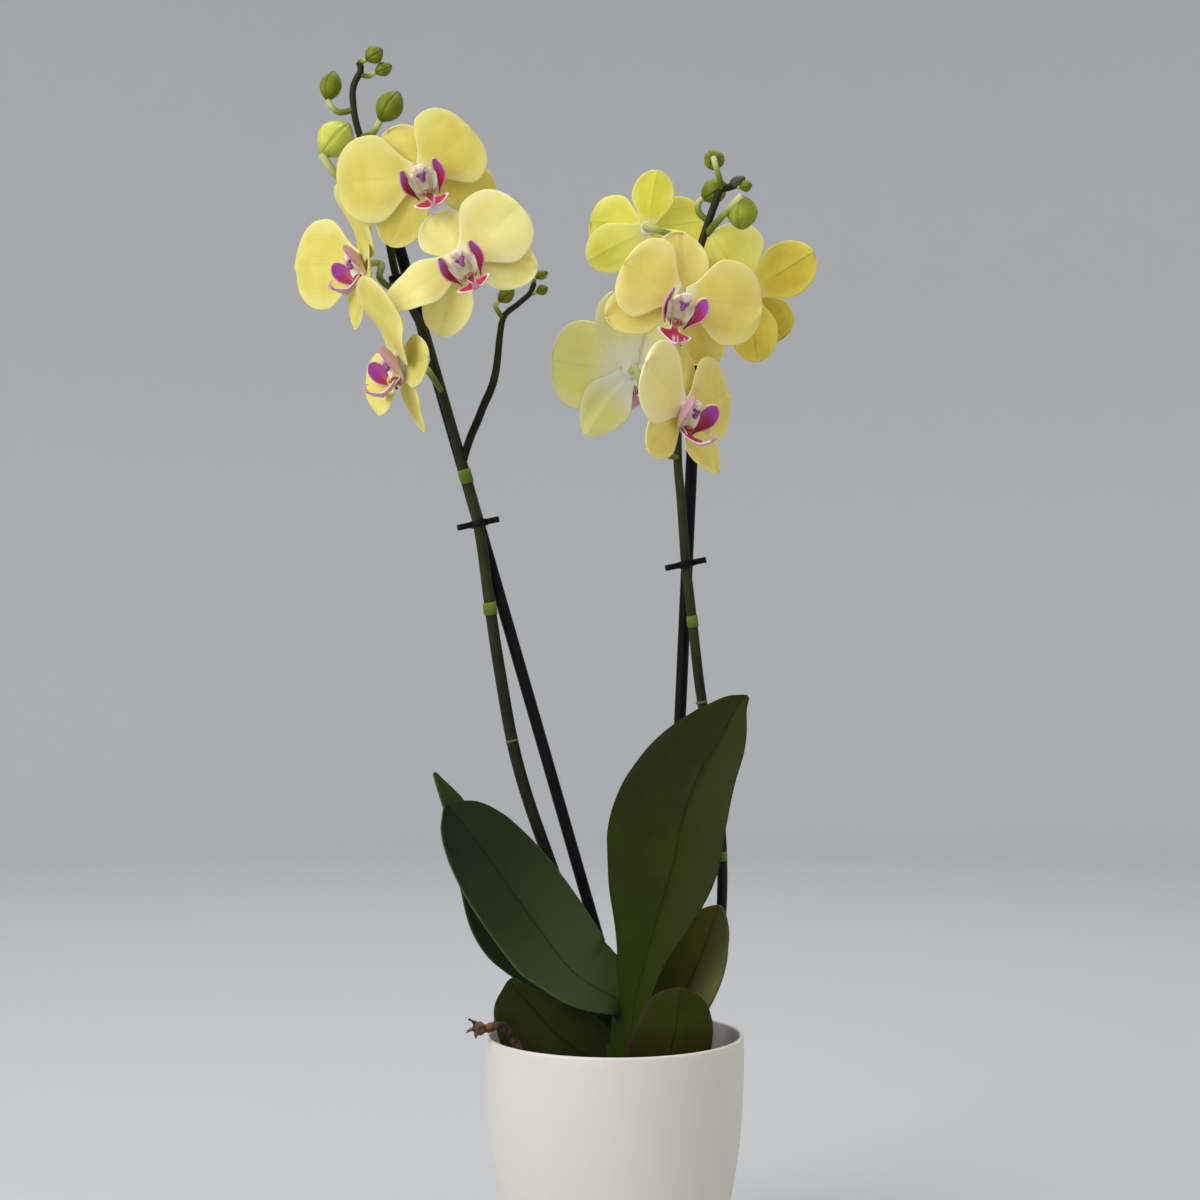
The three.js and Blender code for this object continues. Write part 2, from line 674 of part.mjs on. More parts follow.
// ---- assembly -----------------------------------------------------------------------------
function leftSpike() {
  return fuse([
    tube(LEFT_STEM, (t) => lerp(3.2, 1.7, smoothstep(t, 0.2, 1)), 6, LEFT_STEM.length - 1),
    tube(BRANCH, (t) => lerp(2, 1.4, t), 5, 8),
    sheath(vec(-58.4, -2, 303), vec(-60.8, -3, 318), 3.1),
    sheath(vec(-77, -9.6, 422), vec(-78.6, -10.4, 430), 3.3),
    pedicel(vec(-119, -25, 558), bloomNamed("left_1"), [[-112, -32, 563]]),
    pedicel(vec(-108.8, -24, 527.5), bloomNamed("left_2"), [[-98, -34, 528]]),
    pedicel(vec(-103.4, -21.5, 508), bloomNamed("left_3"), [[-110, -22, 510], [-114, -18, 516]]),
    pedicel(vec(-88, -14, 462), bloomNamed("left_4"), [[-92, -17, 467]]),
    ...LEFT_BUDS.flatMap(bud),
  ]);
}

function rightSpike() {
  return fuse([
    tube(RIGHT_STEM, (t) => lerp(2.7, 1.6, smoothstep(t, 0.3, 1)), 6, RIGHT_STEM.length - 1),
    sheath(vec(56.3, 6.4, 213), vec(56.2, 5.6, 221), 2.9),
    sheath(vec(41.2, -0.5, 336), vec(40.2, -0.8, 344), 2.9),
    pedicel(vec(38, -4.5, 500), bloomNamed("right_1")),
    pedicel(vec(33, -5, 425), bloomNamed("right_2"), [[26, -18, 428]]),
    pedicel(vec(43, -3, 530), bloomNamed("right_3"), [[34, 2, 540]]),
    pedicel(vec(35, -5, 478), bloomNamed("right_4"), [[24, -1, 484]]),
    pedicel(vec(40, -4, 515), bloomNamed("right_5"), [[48, 4, 520]]),
    ...RIGHT_BUDS.flatMap(bud),
  ]);
}

const orchid = new THREE.Group();

const pots = new THREE.Group();
pots.add(node("outer_pot", outerPot(), POT_WHITE, 0.4));
pots.add(node("grow_pot", growPot(), GROW_POT_GREY, 0.3));
const standing = [
  stake(LEFT_STAKE, STAKE_RADIUS + CLEARANCE),
  stake(RIGHT_STAKE, STAKE_RADIUS + CLEARANCE),
  dryRootBar(CLEARANCE),
  fuse(crown(CLEARANCE)),
];
pots.add(node("bark", bark(standing), BARK_BROWN, 0.9));
orchid.add(pots);

const supports = new THREE.Group();
supports.add(node("stake_left", stake(LEFT_STAKE), BLACK_PLASTIC));
supports.add(node("stake_right", stake(RIGHT_STAKE), BLACK_PLASTIC));
const clips = {
  clip_left_low: clip(vec(-70.5, -6, 392), LEFT_STAKE, 3.9),
  clip_left_high: clip(vec(-105.8, -22.8, 517), LEFT_STAKE, 3.9),
  clip_right: clip(vec(37, -2, 370), RIGHT_STAKE, 3.7),
};
for (const [name, band] of Object.entries(clips)) supports.add(node(name, band, BLACK_PLASTIC));
orchid.add(supports);

const plant = new THREE.Group();
plant.add(node("crown_and_roots", fuse(crown()), CROWN_GREY_GREEN, 0.7));
plant.add(node("dry_root", dryRoot(), DRY_BROWN, 0.85));
for (const shape of LEAVES) plant.add(node(shape.name, leaf(shape), LEAF_GREEN, 0.4));
plant.add(node("spike_left", leftSpike(), STEM_GREEN));
plant.add(node("spike_right", rightSpike(), BUD_GREEN));
for (const bloom of BLOOMS) plant.add(bloomGroup(bloom));
orchid.add(plant);

export default orchid;
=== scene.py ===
"""A potted moth orchid: two staked spikes of yellow blooms over broad dark leaves."""

import random
from math import atan2, cos, exp, hypot, pi, radians, sin, sqrt, tan, tau

import bmesh
import bpy
from mathutils import Matrix, Vector, noise
from mathutils.geometry import interpolate_bezier


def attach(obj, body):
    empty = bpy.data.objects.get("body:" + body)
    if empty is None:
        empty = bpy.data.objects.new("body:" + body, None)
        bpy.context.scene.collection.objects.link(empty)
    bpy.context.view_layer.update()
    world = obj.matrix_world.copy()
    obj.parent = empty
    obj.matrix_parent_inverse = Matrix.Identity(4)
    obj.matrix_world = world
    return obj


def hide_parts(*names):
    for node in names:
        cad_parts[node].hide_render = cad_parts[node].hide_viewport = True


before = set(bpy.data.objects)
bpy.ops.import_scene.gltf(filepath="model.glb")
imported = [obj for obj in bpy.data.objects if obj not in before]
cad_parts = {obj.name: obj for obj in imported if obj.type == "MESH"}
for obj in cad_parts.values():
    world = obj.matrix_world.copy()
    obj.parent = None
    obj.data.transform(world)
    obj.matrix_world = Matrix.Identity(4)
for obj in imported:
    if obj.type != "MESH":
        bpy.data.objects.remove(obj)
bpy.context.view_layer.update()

# ---- cover pot ----
# A thin-walled pot of satin off-white plastic, moulded in one piece with a rounded lip.
# It is spun from its profile: nearly upright under the rim, then rounding in to a flat foot.

MM = 0.001
POT_HEIGHT = 125
POT_RIM = 67.5
POT_BASE = 48
POT_WALL = 2.4
POT_FLOOR = 4
POT_FOOT_ROUND = 3.5
POT_SIDES = 96
POT_RINGS = 24
POT_CURVE = 2.7
POT_RECESS = 1
POT_INNER_ROUND = 5


class Channel:
    """A socket of a finish, so that a pattern can be written as a sum."""

    def __init__(self, finish, socket):
        self.finish = finish
        self.socket = socket

    def maths(self, operation, first, second):
        return self.finish.node("Math", {"operation": operation}, {0: first, 1: second})

    def __add__(self, other):
        return self.maths("ADD", self, other)

    def __sub__(self, other):
        return self.maths("SUBTRACT", self, other)

    def __rsub__(self, other):
        return self.maths("SUBTRACT", other, self)

    def __mul__(self, other):
        return self.maths("MULTIPLY", self, other)

    def __abs__(self):
        return self.maths("ABSOLUTE", self, 0)

    __radd__ = __add__
    __rmul__ = __mul__

    def rise(self, low, high):
        """0 below low, 1 above high and a smooth slope between; falls where low is higher."""
        limits = {"Value": self, "From Min": low, "From Max": high}
        return self.finish.node("MapRange", {"interpolation_type": "SMOOTHSTEP"}, limits)


class Finish:
    """A material: a base colour with others laid over it, then its gloss and relief."""

    def __init__(self, name, colour):
        self.material = bpy.data.materials.new(name)
        self.material.use_nodes = True
        self.tree = self.material.node_tree
        self.tree.nodes.clear()
        self.colour = paint(colour)

    def node(self, kind, settings, values, out=0):
        made = self.tree.nodes.new("ShaderNode" + kind)
        for name, setting in settings.items():
            setattr(made, name, setting)
        for name, value in values.items():
            if isinstance(value, Channel):
                self.tree.links.new(value.socket, made.inputs[name])
            else:
                made.inputs[name].default_value = value
        return Channel(self, made.outputs[out])

    def place(self, output, scale=(1, 1, 1)):
        """Where a point of the piece is, on the piece itself (Object) or along its surface (UV)."""
        spot = self.node("TexCoord", {}, {}, output)
        return self.node("Mapping", {}, {"Vector": spot, "Scale": scale})

    def axes(self):
        """How far across and along the surface a point is, both running from 0 to 1."""
        spot = self.place("UV")
        return [self.node("SeparateXYZ", {}, {0: spot}, axis) for axis in "XY"]

    def speckle(self, scale, detail=3, roughness=0.55, stretch=(1, 1, 1), output="Object"):
        """Soft noise, finer in the directions that it is stretched in."""
        place = self.place(output, stretch)
        values = {"Vector": place, "Scale": scale, "Detail": detail, "Roughness": roughness}
        return self.node("TexNoise", {}, values)

    def streaks(self, across, along, detail=3, roughness=0.6):
        """Noise that follows the surface, drawn out the way that veins and grain run."""
        return self.speckle(1, detail, roughness, (across, along, 1), "UV")

    def over(self, share, code):
        """Lays a colour over the ones before it, as far as a pattern says."""
        values = {0: share, 6: self.colour, 7: paint(code)}
        self.colour = self.node("Mix", {"data_type": "RGBA"}, values, 2)

    def surface(self, roughness, relief=None, depth=0.0005, **constants):
        values = {"Base Color": self.colour, "Roughness": roughness}
        values.update({name.replace("_", " "): value for name, value in constants.items()})
        if relief is not None:
            values["Normal"] = self.node("Bump", {}, {"Height": relief, "Distance": depth})
        shader = self.node("BsdfPrincipled", {}, values)
        output = self.tree.nodes.new("ShaderNodeOutputMaterial")
        self.tree.links.new(shader.socket, output.inputs["Surface"])
        return self.material


def paint(code):
    """A colour given as it looks on a screen, as the renderer's linear values."""
    shares = [int(code[k : k + 2], 16) / 255 for k in (0, 2, 4)]
    return (*[s / 12.92 if s <= 0.04045 else ((s + 0.055) / 1.055) ** 2.4 for s in shares], 1)


def solid(name, bm, finishes):
    """Makes an object of a finished mesh, which is modelled in millimetres."""
    bmesh.ops.scale(bm, vec=(MM, MM, MM), verts=bm.verts)
    mesh = bpy.data.meshes.new(name)
    bm.to_mesh(mesh)
    bm.free()
    mesh.shade_smooth()
    for finish in finishes:
        mesh.materials.append(finish)
    made = bpy.data.objects.new(name, mesh)
    bpy.context.scene.collection.objects.link(made)
    return made


def piece(name, bm, finishes, node, place=None):
    """Moves a finished mesh to its place, and makes it the piece that stands for a CAD node."""
    if place:
        bmesh.ops.transform(bm, matrix=place, verts=bm.verts)
    made = solid(name, bm, finishes)
    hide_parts(node)
    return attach(made, "root")


def spun(bm, profile, sides):
    """Turns a closed run of [radius, height] points about the upright axis."""
    verts = [bm.verts.new((radius, 0, height)) for radius, height in profile]
    edges = [bm.edges.new(pair) for pair in zip(verts, verts[1:])]
    bmesh.ops.spin(
        bm, geom=verts + edges, cent=(0, 0, 0), axis=(0, 0, 1), angle=tau, steps=sides,
        use_merge=True,
    )
    bmesh.ops.remove_doubles(bm, verts=bm.verts, dist=1e-3)
    bmesh.ops.recalc_face_normals(bm, faces=bm.faces)


def pot_radius(height):
    return POT_RIM - (POT_RIM - POT_BASE) * (1 - height / POT_HEIGHT) ** POT_CURVE


def arc(centre, radius, start, end, count):
    """Points of an arc in the profile's plane, from and to an angle in degrees."""
    angles = [radians(start + (end - start) * k / count) for k in range(count + 1)]
    return [(centre[0] + radius * cos(a), centre[1] + radius * sin(a)) for a in angles]


def cover_pot():
    bm = bmesh.new()
    heights = [POT_HEIGHT * k / POT_RINGS for k in range(1, POT_RINGS)]
    foot = (pot_radius(2) - POT_FOOT_ROUND, POT_FOOT_ROUND)
    lip = (POT_RIM - POT_WALL / 2, POT_HEIGHT - POT_WALL / 2)
    inner_foot = (pot_radius(8) - POT_WALL - POT_INNER_ROUND, POT_FLOOR + POT_INNER_ROUND)
    profile = [(0, POT_RECESS), (foot[0] - 5, POT_RECESS), (foot[0] - 3, 0)]
    profile += arc(foot, POT_FOOT_ROUND, -90, -15, 5)
    profile += [(pot_radius(z), z) for z in heights if z > POT_FOOT_ROUND]
    profile += arc(lip, POT_WALL / 2, 0, 180, 6)
    profile += [(pot_radius(z) - POT_WALL, z) for z in reversed(heights) if z > 12]
    profile += arc(inner_foot, POT_INNER_ROUND, 0, -90, 4)
    profile += [(0, POT_FLOOR)]
    spun(bm, profile, POT_SIDES)

    finish = Finish("satin_white_plastic", "dad5ca")
    cloud = finish.speckle(9, 2)
    grain = finish.speckle(900, 2)
    finish.over(cloud.rise(0.3, 0.7), "e0dbd0")
    roughness = 0.36 + grain * 0.1
    relief = grain + cloud * 4
    satin = finish.surface(roughness, relief, 0.00003, Coat_Weight=0.15, Coat_Roughness=0.3)
    piece("cover_pot", bm, [satin], "outer_pot")


cover_pot()

# ---- grow pot ----
# The thin, cloudy nursery pot that the plant was sold in, standing inside the cover pot.
# It is vacuum formed, with a rolled rim and shallow upright ribs.

GROW_TOP = 100
GROW_RIM = 59
GROW_BASE = 42
GROW_WALL = 1.2
GROW_BOTTOM = POT_FLOOR + 0.3
GROW_RIBS = 24
RIB_DEPTH = 0.5
ROLLED_RIM = 3


def grow_radius(height):
    share = (height - GROW_BOTTOM) / (GROW_TOP - GROW_BOTTOM)
    return GROW_BASE + (GROW_RIM - 2 - GROW_BASE) * share


def grow_pot():
    bm = bmesh.new()
    lip_bottom = GROW_TOP - ROLLED_RIM
    heights = [GROW_BOTTOM + 2 + k * (lip_bottom - GROW_BOTTOM - 4) / 12 for k in range(13)]
    floor = GROW_BOTTOM + GROW_WALL
    profile = [(0, GROW_BOTTOM), (GROW_BASE - 2, GROW_BOTTOM)]
    profile += [(grow_radius(z), z) for z in heights]
    profile += [(grow_radius(lip_bottom), lip_bottom)]
    profile += [(GROW_RIM - 0.4, lip_bottom), (GROW_RIM, lip_bottom + 0.5)]
    profile += [(GROW_RIM, GROW_TOP - 0.6), (GROW_RIM - 0.6, GROW_TOP)]
    profile += [(grow_radius(GROW_TOP) - GROW_WALL + 0.5, GROW_TOP)]
    profile += [(grow_radius(z) - GROW_WALL, z) for z in reversed(heights)]
    profile += [(GROW_BASE - 4, floor), (0, floor)]
    spun(bm, profile, GROW_RIBS * 4)
    for vert in bm.verts:
        if floor + 2 < vert.co.z < lip_bottom - 2:
            wave = cos(GROW_RIBS * atan2(vert.co.y, vert.co.x))
            radius = hypot(vert.co.x, vert.co.y)
            vert.co.xy *= 1 - RIB_DEPTH * max(0, wave) / radius

    finish = Finish("cloudy_grey_plastic", "a9ada4")
    haze = finish.speckle(40)
    finish.over(haze, "c2c5bc")
    cloudy = finish.surface(0.3 + haze * 0.2, haze, 0.0001)
    piece("nursery_pot", bm, [cloudy], "grow_pot")


grow_pot()

# ---- bark ----
# Orchid bark: loose, broken chips of dried brown bark over a filling spun to fit the nursery pot.
# Each chip is a chipped block of its own, thrown down at its own angle.

BARK_TOP = 88
CHIP_COUNT = 150
CHIP_SEED = 5
CHIP_LENGTH = (7, 16)
CHIP_WIDTH = (5, 10)
CHIP_DEPTH = (2.5, 5)
CHIP_LEAN = 0.4
CHIP_UNEVEN = 1.5
GOLDEN_ANGLE = pi * (3 - sqrt(5))


def faces_of(verts):
    return list({face for vert in verts for face in vert.link_faces})


def give(verts, finish):
    """Gives the faces round some points one of their piece's finishes."""
    for face in faces_of(verts):
        face.material_index = finish


def bark():
    rng = random.Random(CHIP_SEED)
    noise.seed_set(CHIP_SEED)
    bm = bmesh.new()
    bottom = GROW_BOTTOM + GROW_WALL + 0.3
    gap = GROW_WALL + 0.8
    top_radius = grow_radius(BARK_TOP) - gap
    profile = [(0, bottom), (grow_radius(bottom) - gap - 3, bottom), (top_radius, BARK_TOP - 6)]
    profile += [(top_radius - 4, BARK_TOP - 3), (0, BARK_TOP - 3)]
    spun(bm, profile, 64)
    for k in range(CHIP_COUNT):
        made = bmesh.ops.create_cube(bm, size=1)["verts"]
        size = [rng.uniform(*limits) for limits in (CHIP_LENGTH, CHIP_WIDTH, CHIP_DEPTH)]
        bmesh.ops.scale(bm, vec=size, verts=made)
        edges = list({edge for vert in made for edge in vert.link_edges})
        rounded = bmesh.ops.bevel(
            bm, geom=made + edges, offset=0.8, segments=1, profile=0.5, affect="EDGES", material=-1
        )["verts"]
        chip = [vert for vert in rounded if vert.is_valid]
        for vert in chip:
            vert.co += noise.noise_vector(vert.co * 0.21 + Vector((0, 0, 7.3 * k))) * CHIP_UNEVEN
        radius = (top_radius - 7) * sqrt((k + 0.5) / CHIP_COUNT)
        angle = k * GOLDEN_ANGLE
        turn = Matrix.Rotation(rng.uniform(0, tau), 4, "Z")
        turn @= Matrix.Rotation(rng.uniform(-CHIP_LEAN, CHIP_LEAN), 4, "X")
        spot = (radius * cos(angle), radius * sin(angle), BARK_TOP + rng.uniform(-2.5, 2.5))
        bmesh.ops.transform(bm, matrix=Matrix.Translation(spot) @ turn, verts=chip)
        give(chip, rng.randrange(3))

    finishes = []
    for name, dark, light in (
        ("bark_brown", "3a2416", "6d4a30"),
        ("bark_red_brown", "4a2a18", "80553a"),
        ("bark_grey_brown", "3c3026", "7a6a58"),
    ):
        finish = Finish(name, dark)
        fibres = finish.speckle(140, 5, 0.7, (1, 4, 3))
        finish.over(fibres.rise(0.3, 0.75), light)
        finishes.append(finish.surface(0.85, fibres, 0.0012))
    made = piece("bark_chips", bm, finishes, "bark")
    for polygon in made.data.polygons:
        polygon.use_smooth = False


bark()

# ---- stakes ----
# Round sticks of black plastic pushed into the bark, one for each spike, with rounded ends.
# They keep a faint, long drawn grain from the die.

STAKE_RADIUS = 3.1
STAKE_END_ROUND = 0.9
STAKE_SIDES = 20
STAKE_CUTS = 12
LEFT_STAKE = (Vector((34, 18.7, 24)), Vector((-117, -8, 552)))
RIGHT_STAKE = (Vector((23, 31.5, 20)), Vector((42.6, 2.5, 474)))


def black_plastic():
    finish = Finish("black_plastic", "070708")
    drawn = finish.speckle(1, 4, stretch=(300, 300, 8))
    dust = finish.speckle(70)
    finish.over(dust.rise(0.35, 0.8), "131315")
    return finish.surface(0.32 + drawn * 0.25, drawn, 0.0002, Specular_IOR_Level=0.12)


BLACK = black_plastic()


def drop(edge):
    """How much lower one end of an edge is than the other."""
    return abs(edge.verts[0].co.z - edge.verts[1].co.z)


def stake(name, node, ends):
    bm = bmesh.new()
    reach = ends[1] - ends[0]
    bmesh.ops.create_cone(
        bm, cap_ends=True, segments=STAKE_SIDES, radius1=STAKE_RADIUS, radius2=STAKE_RADIUS,
        depth=reach.length,
    )
    rims = [edge for edge in bm.edges if drop(edge) < 1e-3]
    bmesh.ops.bevel(
        bm, geom=rims, offset=STAKE_END_ROUND, segments=3, profile=0.5, affect="EDGES", material=-1
    )
    sides = [edge for edge in bm.edges if drop(edge) > reach.length / 2]
    bmesh.ops.subdivide_edges(bm, edges=sides, cuts=STAKE_CUTS, use_grid_fill=False)
    turn = reach.to_track_quat("Z", "Y").to_matrix().to_4x4()
    middle = Matrix.Translation((ends[0] + ends[1]) / 2)
    piece(name, bm, [BLACK], node, middle @ turn)


stake("left_stake", "stake_left", LEFT_STAKE)
stake("right_stake", "stake_right", RIGHT_STAKE)

# ---- clips ----
# Moulded black plastic clips that hold a stem to its stake: a flat band closed round both,
# with a small finger tab at each end.

CLIP_HEIGHT = 3.5
CLIP_WALL = 1.4
TAB_LENGTH = 6.5
CLIP_TILT = radians(12)


def clip(name, node, stem, ends, inner_radius, tabs):
    bm = bmesh.new()
    held = ends[0].lerp(ends[1], (stem.z - ends[0].z) / (ends[1].z - ends[0].z))
    reach = held - stem
    radius = inner_radius + CLIP_WALL / 2
    ring = bmesh.ops.create_circle(bm, segments=40, radius=radius)["verts"]
    for vert in ring:
        if vert.co.x > 1e-4:
            vert.co.x += reach.length
    walls = bmesh.ops.extrude_edge_only(bm, edges=bm.edges[:])["geom"]
    top = [item for item in walls if isinstance(item, bmesh.types.BMVert)]
    bmesh.ops.translate(bm, vec=(0, 0, CLIP_HEIGHT), verts=top)
    bmesh.ops.recalc_face_normals(bm, faces=bm.faces)
    bmesh.ops.solidify(bm, geom=bm.faces[:], thickness=CLIP_WALL)
    for side in tabs:
        tab = bmesh.ops.create_cube(bm, size=1)["verts"]
        bmesh.ops.scale(bm, vec=(TAB_LENGTH, CLIP_WALL, CLIP_HEIGHT - 0.4), verts=tab)
        reach_out = side * (radius + TAB_LENGTH / 2)
        bmesh.ops.translate(bm, vec=(reach_out, 0, CLIP_HEIGHT / 2), verts=tab)
        across = Matrix.Rotation(-atan2(reach.y, reach.x), 4, "Z")
        bmesh.ops.transform(bm, matrix=across, verts=tab)
    bmesh.ops.translate(bm, vec=(0, 0, -CLIP_HEIGHT / 2), verts=bm.verts)
    turn = Matrix.Rotation(atan2(reach.y, reach.x), 4, "Z")
    tilt = Matrix.Rotation(-CLIP_TILT, 4, "Y")
    made = piece(name, bm, [BLACK], node, Matrix.Translation(stem) @ tilt @ turn)
    edge = made.modifiers.new("soft_edges", "BEVEL")
    edge.width = 0.3 * MM
    edge.segments = 2


clip("left_low_clip", "clip_left_low", Vector((-71, -6, 391)), LEFT_STAKE, 3.9, [-1, 1])
clip("left_high_clip", "clip_left_high", Vector((-111.4, -22.8, 516)), LEFT_STAKE, 3.9, [])
clip("right_clip_band", "clip_right", Vector((37, -2, 370)), RIGHT_STAKE, 3.7, [-1, 1])

# ---- short stem and roots ----
# The thick, short stem that the leaves are packed on, and the silvery green roots that leave it
# over the bark. They grew, so they are bars along a course, each with its own swellings.


def where(line, measures, goals):
    """The places on a line where a measure that rises along it reaches each goal."""
    found = []
    k = 0
    for goal in goals:
        while k + 2 < len(line) and measures[k + 1] < goal:
            k += 1
        share = (goal - measures[k]) / max(1e-9, measures[k + 1] - measures[k])
        found.append(line[k].lerp(line[k + 1], share))
    return found


def course(points, spacing):
    """Evenly spaced points along a smooth line through the given ones."""
    knots = [Vector(point) for point in points]
    ends = [knots[0] * 2 - knots[1], *knots, knots[-1] * 2 - knots[-2]]
    line = [knots[0]]
    for before, start, end, after in zip(ends, ends[1:], ends[2:], ends[3:]):
        handles = start + (end - before) / 6, end - (after - start) / 6
        line += interpolate_bezier(start, *handles, end, 16)[1:]
    travelled = [0]
    for here, there in zip(line, line[1:]):
        travelled.append(travelled[-1] + (there - here).length)
    steps = max(2, round(travelled[-1] / spacing))
    return where(line, travelled, [travelled[-1] * step / steps for step in range(steps + 1)])


def sheet(bm, columns, rows, place, finish=0):
    """Adds a grid and moves each point of it to place(across, along), both running from 0 to 1."""
    bm.loops.layers.uv.verify()
    made = bmesh.ops.create_grid(bm, x_segments=columns, y_segments=rows, size=0.5, calc_uvs=True)
    made = made["verts"]
    give(made, finish)
    for vert in made:
        vert.co = place(vert.co.x + 0.5, vert.co.y + 0.5)
    return made


def bar(bm, points, radius_at, sides=12, spacing=3, finish=0):
    """Adds a closed round bar along a course; radius_at takes the share of it and the angle."""
    line = course(points, spacing)
    last = len(line) - 1
    normal = Vector((0.31, 0.83, 0.47))
    frames = []
    for k, centre in enumerate(line):
        tangent = (line[min(k + 1, last)] - line[max(k - 1, 0)]).normalized()
        normal = (normal - tangent * normal.dot(tangent)).normalized()
        frames.append((centre, normal, tangent.cross(normal)))

    def place(around, along):
        centre, first, second = frames[round(along * last)]
        angle = tau * around
        return centre + (first * cos(angle) + second * sin(angle)) * radius_at(along, angle)

    made = sheet(bm, sides, last, place, finish)
    bmesh.ops.remove_doubles(bm, verts=made, dist=1e-4)
    open_edges = [edge for edge in bm.edges if edge.is_boundary]
    for face in bmesh.ops.holes_fill(bm, edges=open_edges, sides=0)["faces"]:
        face.material_index = finish
    bmesh.ops.recalc_face_normals(bm, faces=bm.faces)


def lerp(start, end, share):
    return start + (end - start) * share


CROWN_RADIUS = 7
CROWN_STEM = [[0, 0, 78], [0.5, 0, 98], [1, 0, 119]]
ROOTS = [
    [[0, 0, 84], [12, -16, 87], [20, -32, 86], [24, -42, 72]],
    [[0, 0, 84], [-16, -14, 87], [-30, -22, 86], [-36, -26, 72]],
    [[0, 0, 82], [20, 4, 87], [34, 8, 86], [43, 9, 72]],
]


def short_stem():
    bm = bmesh.new()

    def crown_radius(t, a):
        return CROWN_RADIUS * lerp(1, 0.7, t) * (1 + 0.04 * sin(3 * a + 9 * t))

    bar(bm, CROWN_STEM, crown_radius, 16, 2, 1)
    for points in ROOTS:
        bar(bm, points, lambda t, a: lerp(2.9, 2.1, t) * (1 + 0.08 * sin(17 * t + a)), 12, 1.5)

    finish = Finish("root_skin", "5f6a3c")
    patches = finish.speckle(90, 4)
    finish.over(patches.rise(0.35, 0.65), "a3a68d")
    roots = finish.surface(0.7, patches, 0.0005)
    finish = Finish("short_stem_skin", "262b12")
    scars = finish.speckle(60, stretch=(1, 1, 6))
    finish.over(scars.rise(0.35, 0.7), "3a401e")
    stem = finish.surface(0.6, scars, 0.0004, Specular_IOR_Level=0.2)
    piece("short_stem_and_roots", bm, [roots, stem], "crown_and_roots")


short_stem()

# ---- dry root ----
# An old root that climbed out over the rim and dried: papery, wrinkled brown skin with a
# shrivelled knot and a few broken ends.

DRY_ROOT = [
    [-32, 0, 80], [-40, -4, 98], [-47, -8, 112], [-51.5, -12, 122], [-56, -15, 129],
    [-60, -18, 132], [-65, -21, 131.5], [-68.5, -22, 131],
]
DRY_KNOB = Vector((-69.5, -22.5, 131.5))
DRY_KNOB_RADIUS = 3.4
DRY_WRINKLES = ((0.55, 0.7), (1.7, 0.35))
DRY_SEED = 5
DRY_STUBS = [[-75.5, -23, 136.5], [-76, -26, 130], [-71.5, -27, 127]]


def dry_root():
    bm = bmesh.new()
    bar(bm, DRY_ROOT, lambda t, a: lerp(2.6, 2.2, t), 16, 0.8)
    knob = bmesh.ops.create_uvsphere(bm, u_segments=24, v_segments=16, radius=DRY_KNOB_RADIUS)
    bmesh.ops.translate(bm, vec=DRY_KNOB, verts=knob["verts"])
    for end in DRY_STUBS:
        bend = DRY_KNOB.lerp(Vector(end), 0.6) + Vector((0, 0, 0.8))
        bar(bm, [DRY_KNOB, bend, end], lambda t, a: lerp(1.6, 0.5, t), 10, 0.6)
    noise.seed_set(DRY_SEED)
    for vert in bm.verts:
        folds = [noise.noise_vector(vert.co * fineness) * depth for fineness, depth in DRY_WRINKLES]
        vert.co += folds[0] + folds[1]

    finish = Finish("dried_root_skin", "33221a")
    wrinkles = finish.speckle(420, 5, 0.7)
    patches = finish.speckle(120, 2)
    finish.over(patches.rise(0.3, 0.7), "8a6a48")
    # Painted shade in the hollows of the wrinkles.
    finish.over(wrinkles.rise(0.55, 0.35) * 0.6, "2a1b12")
    piece("dried_root", bm, [finish.surface(0.85, wrinkles, 0.0006)], "dry_root")


dry_root()

# ---- leaves ----
# Broad, leathery leaves with a waxy satin skin, folded along a sunken midrib. Each grew from the
# short stem, so it is a sheet bent along its midrib and given the thickness of a living leaf.

LEAF_THICKNESS = 1.5
LEAF_CROWDING = 1.25  # how much closer the rows lie towards the tip
FOLD_SHARE = 0.85
FOLD_ROUND = 0.08
TUCK_REACH = 0.5
LEAF_WAVE = 0.03
WIDTH_STEPS = 200
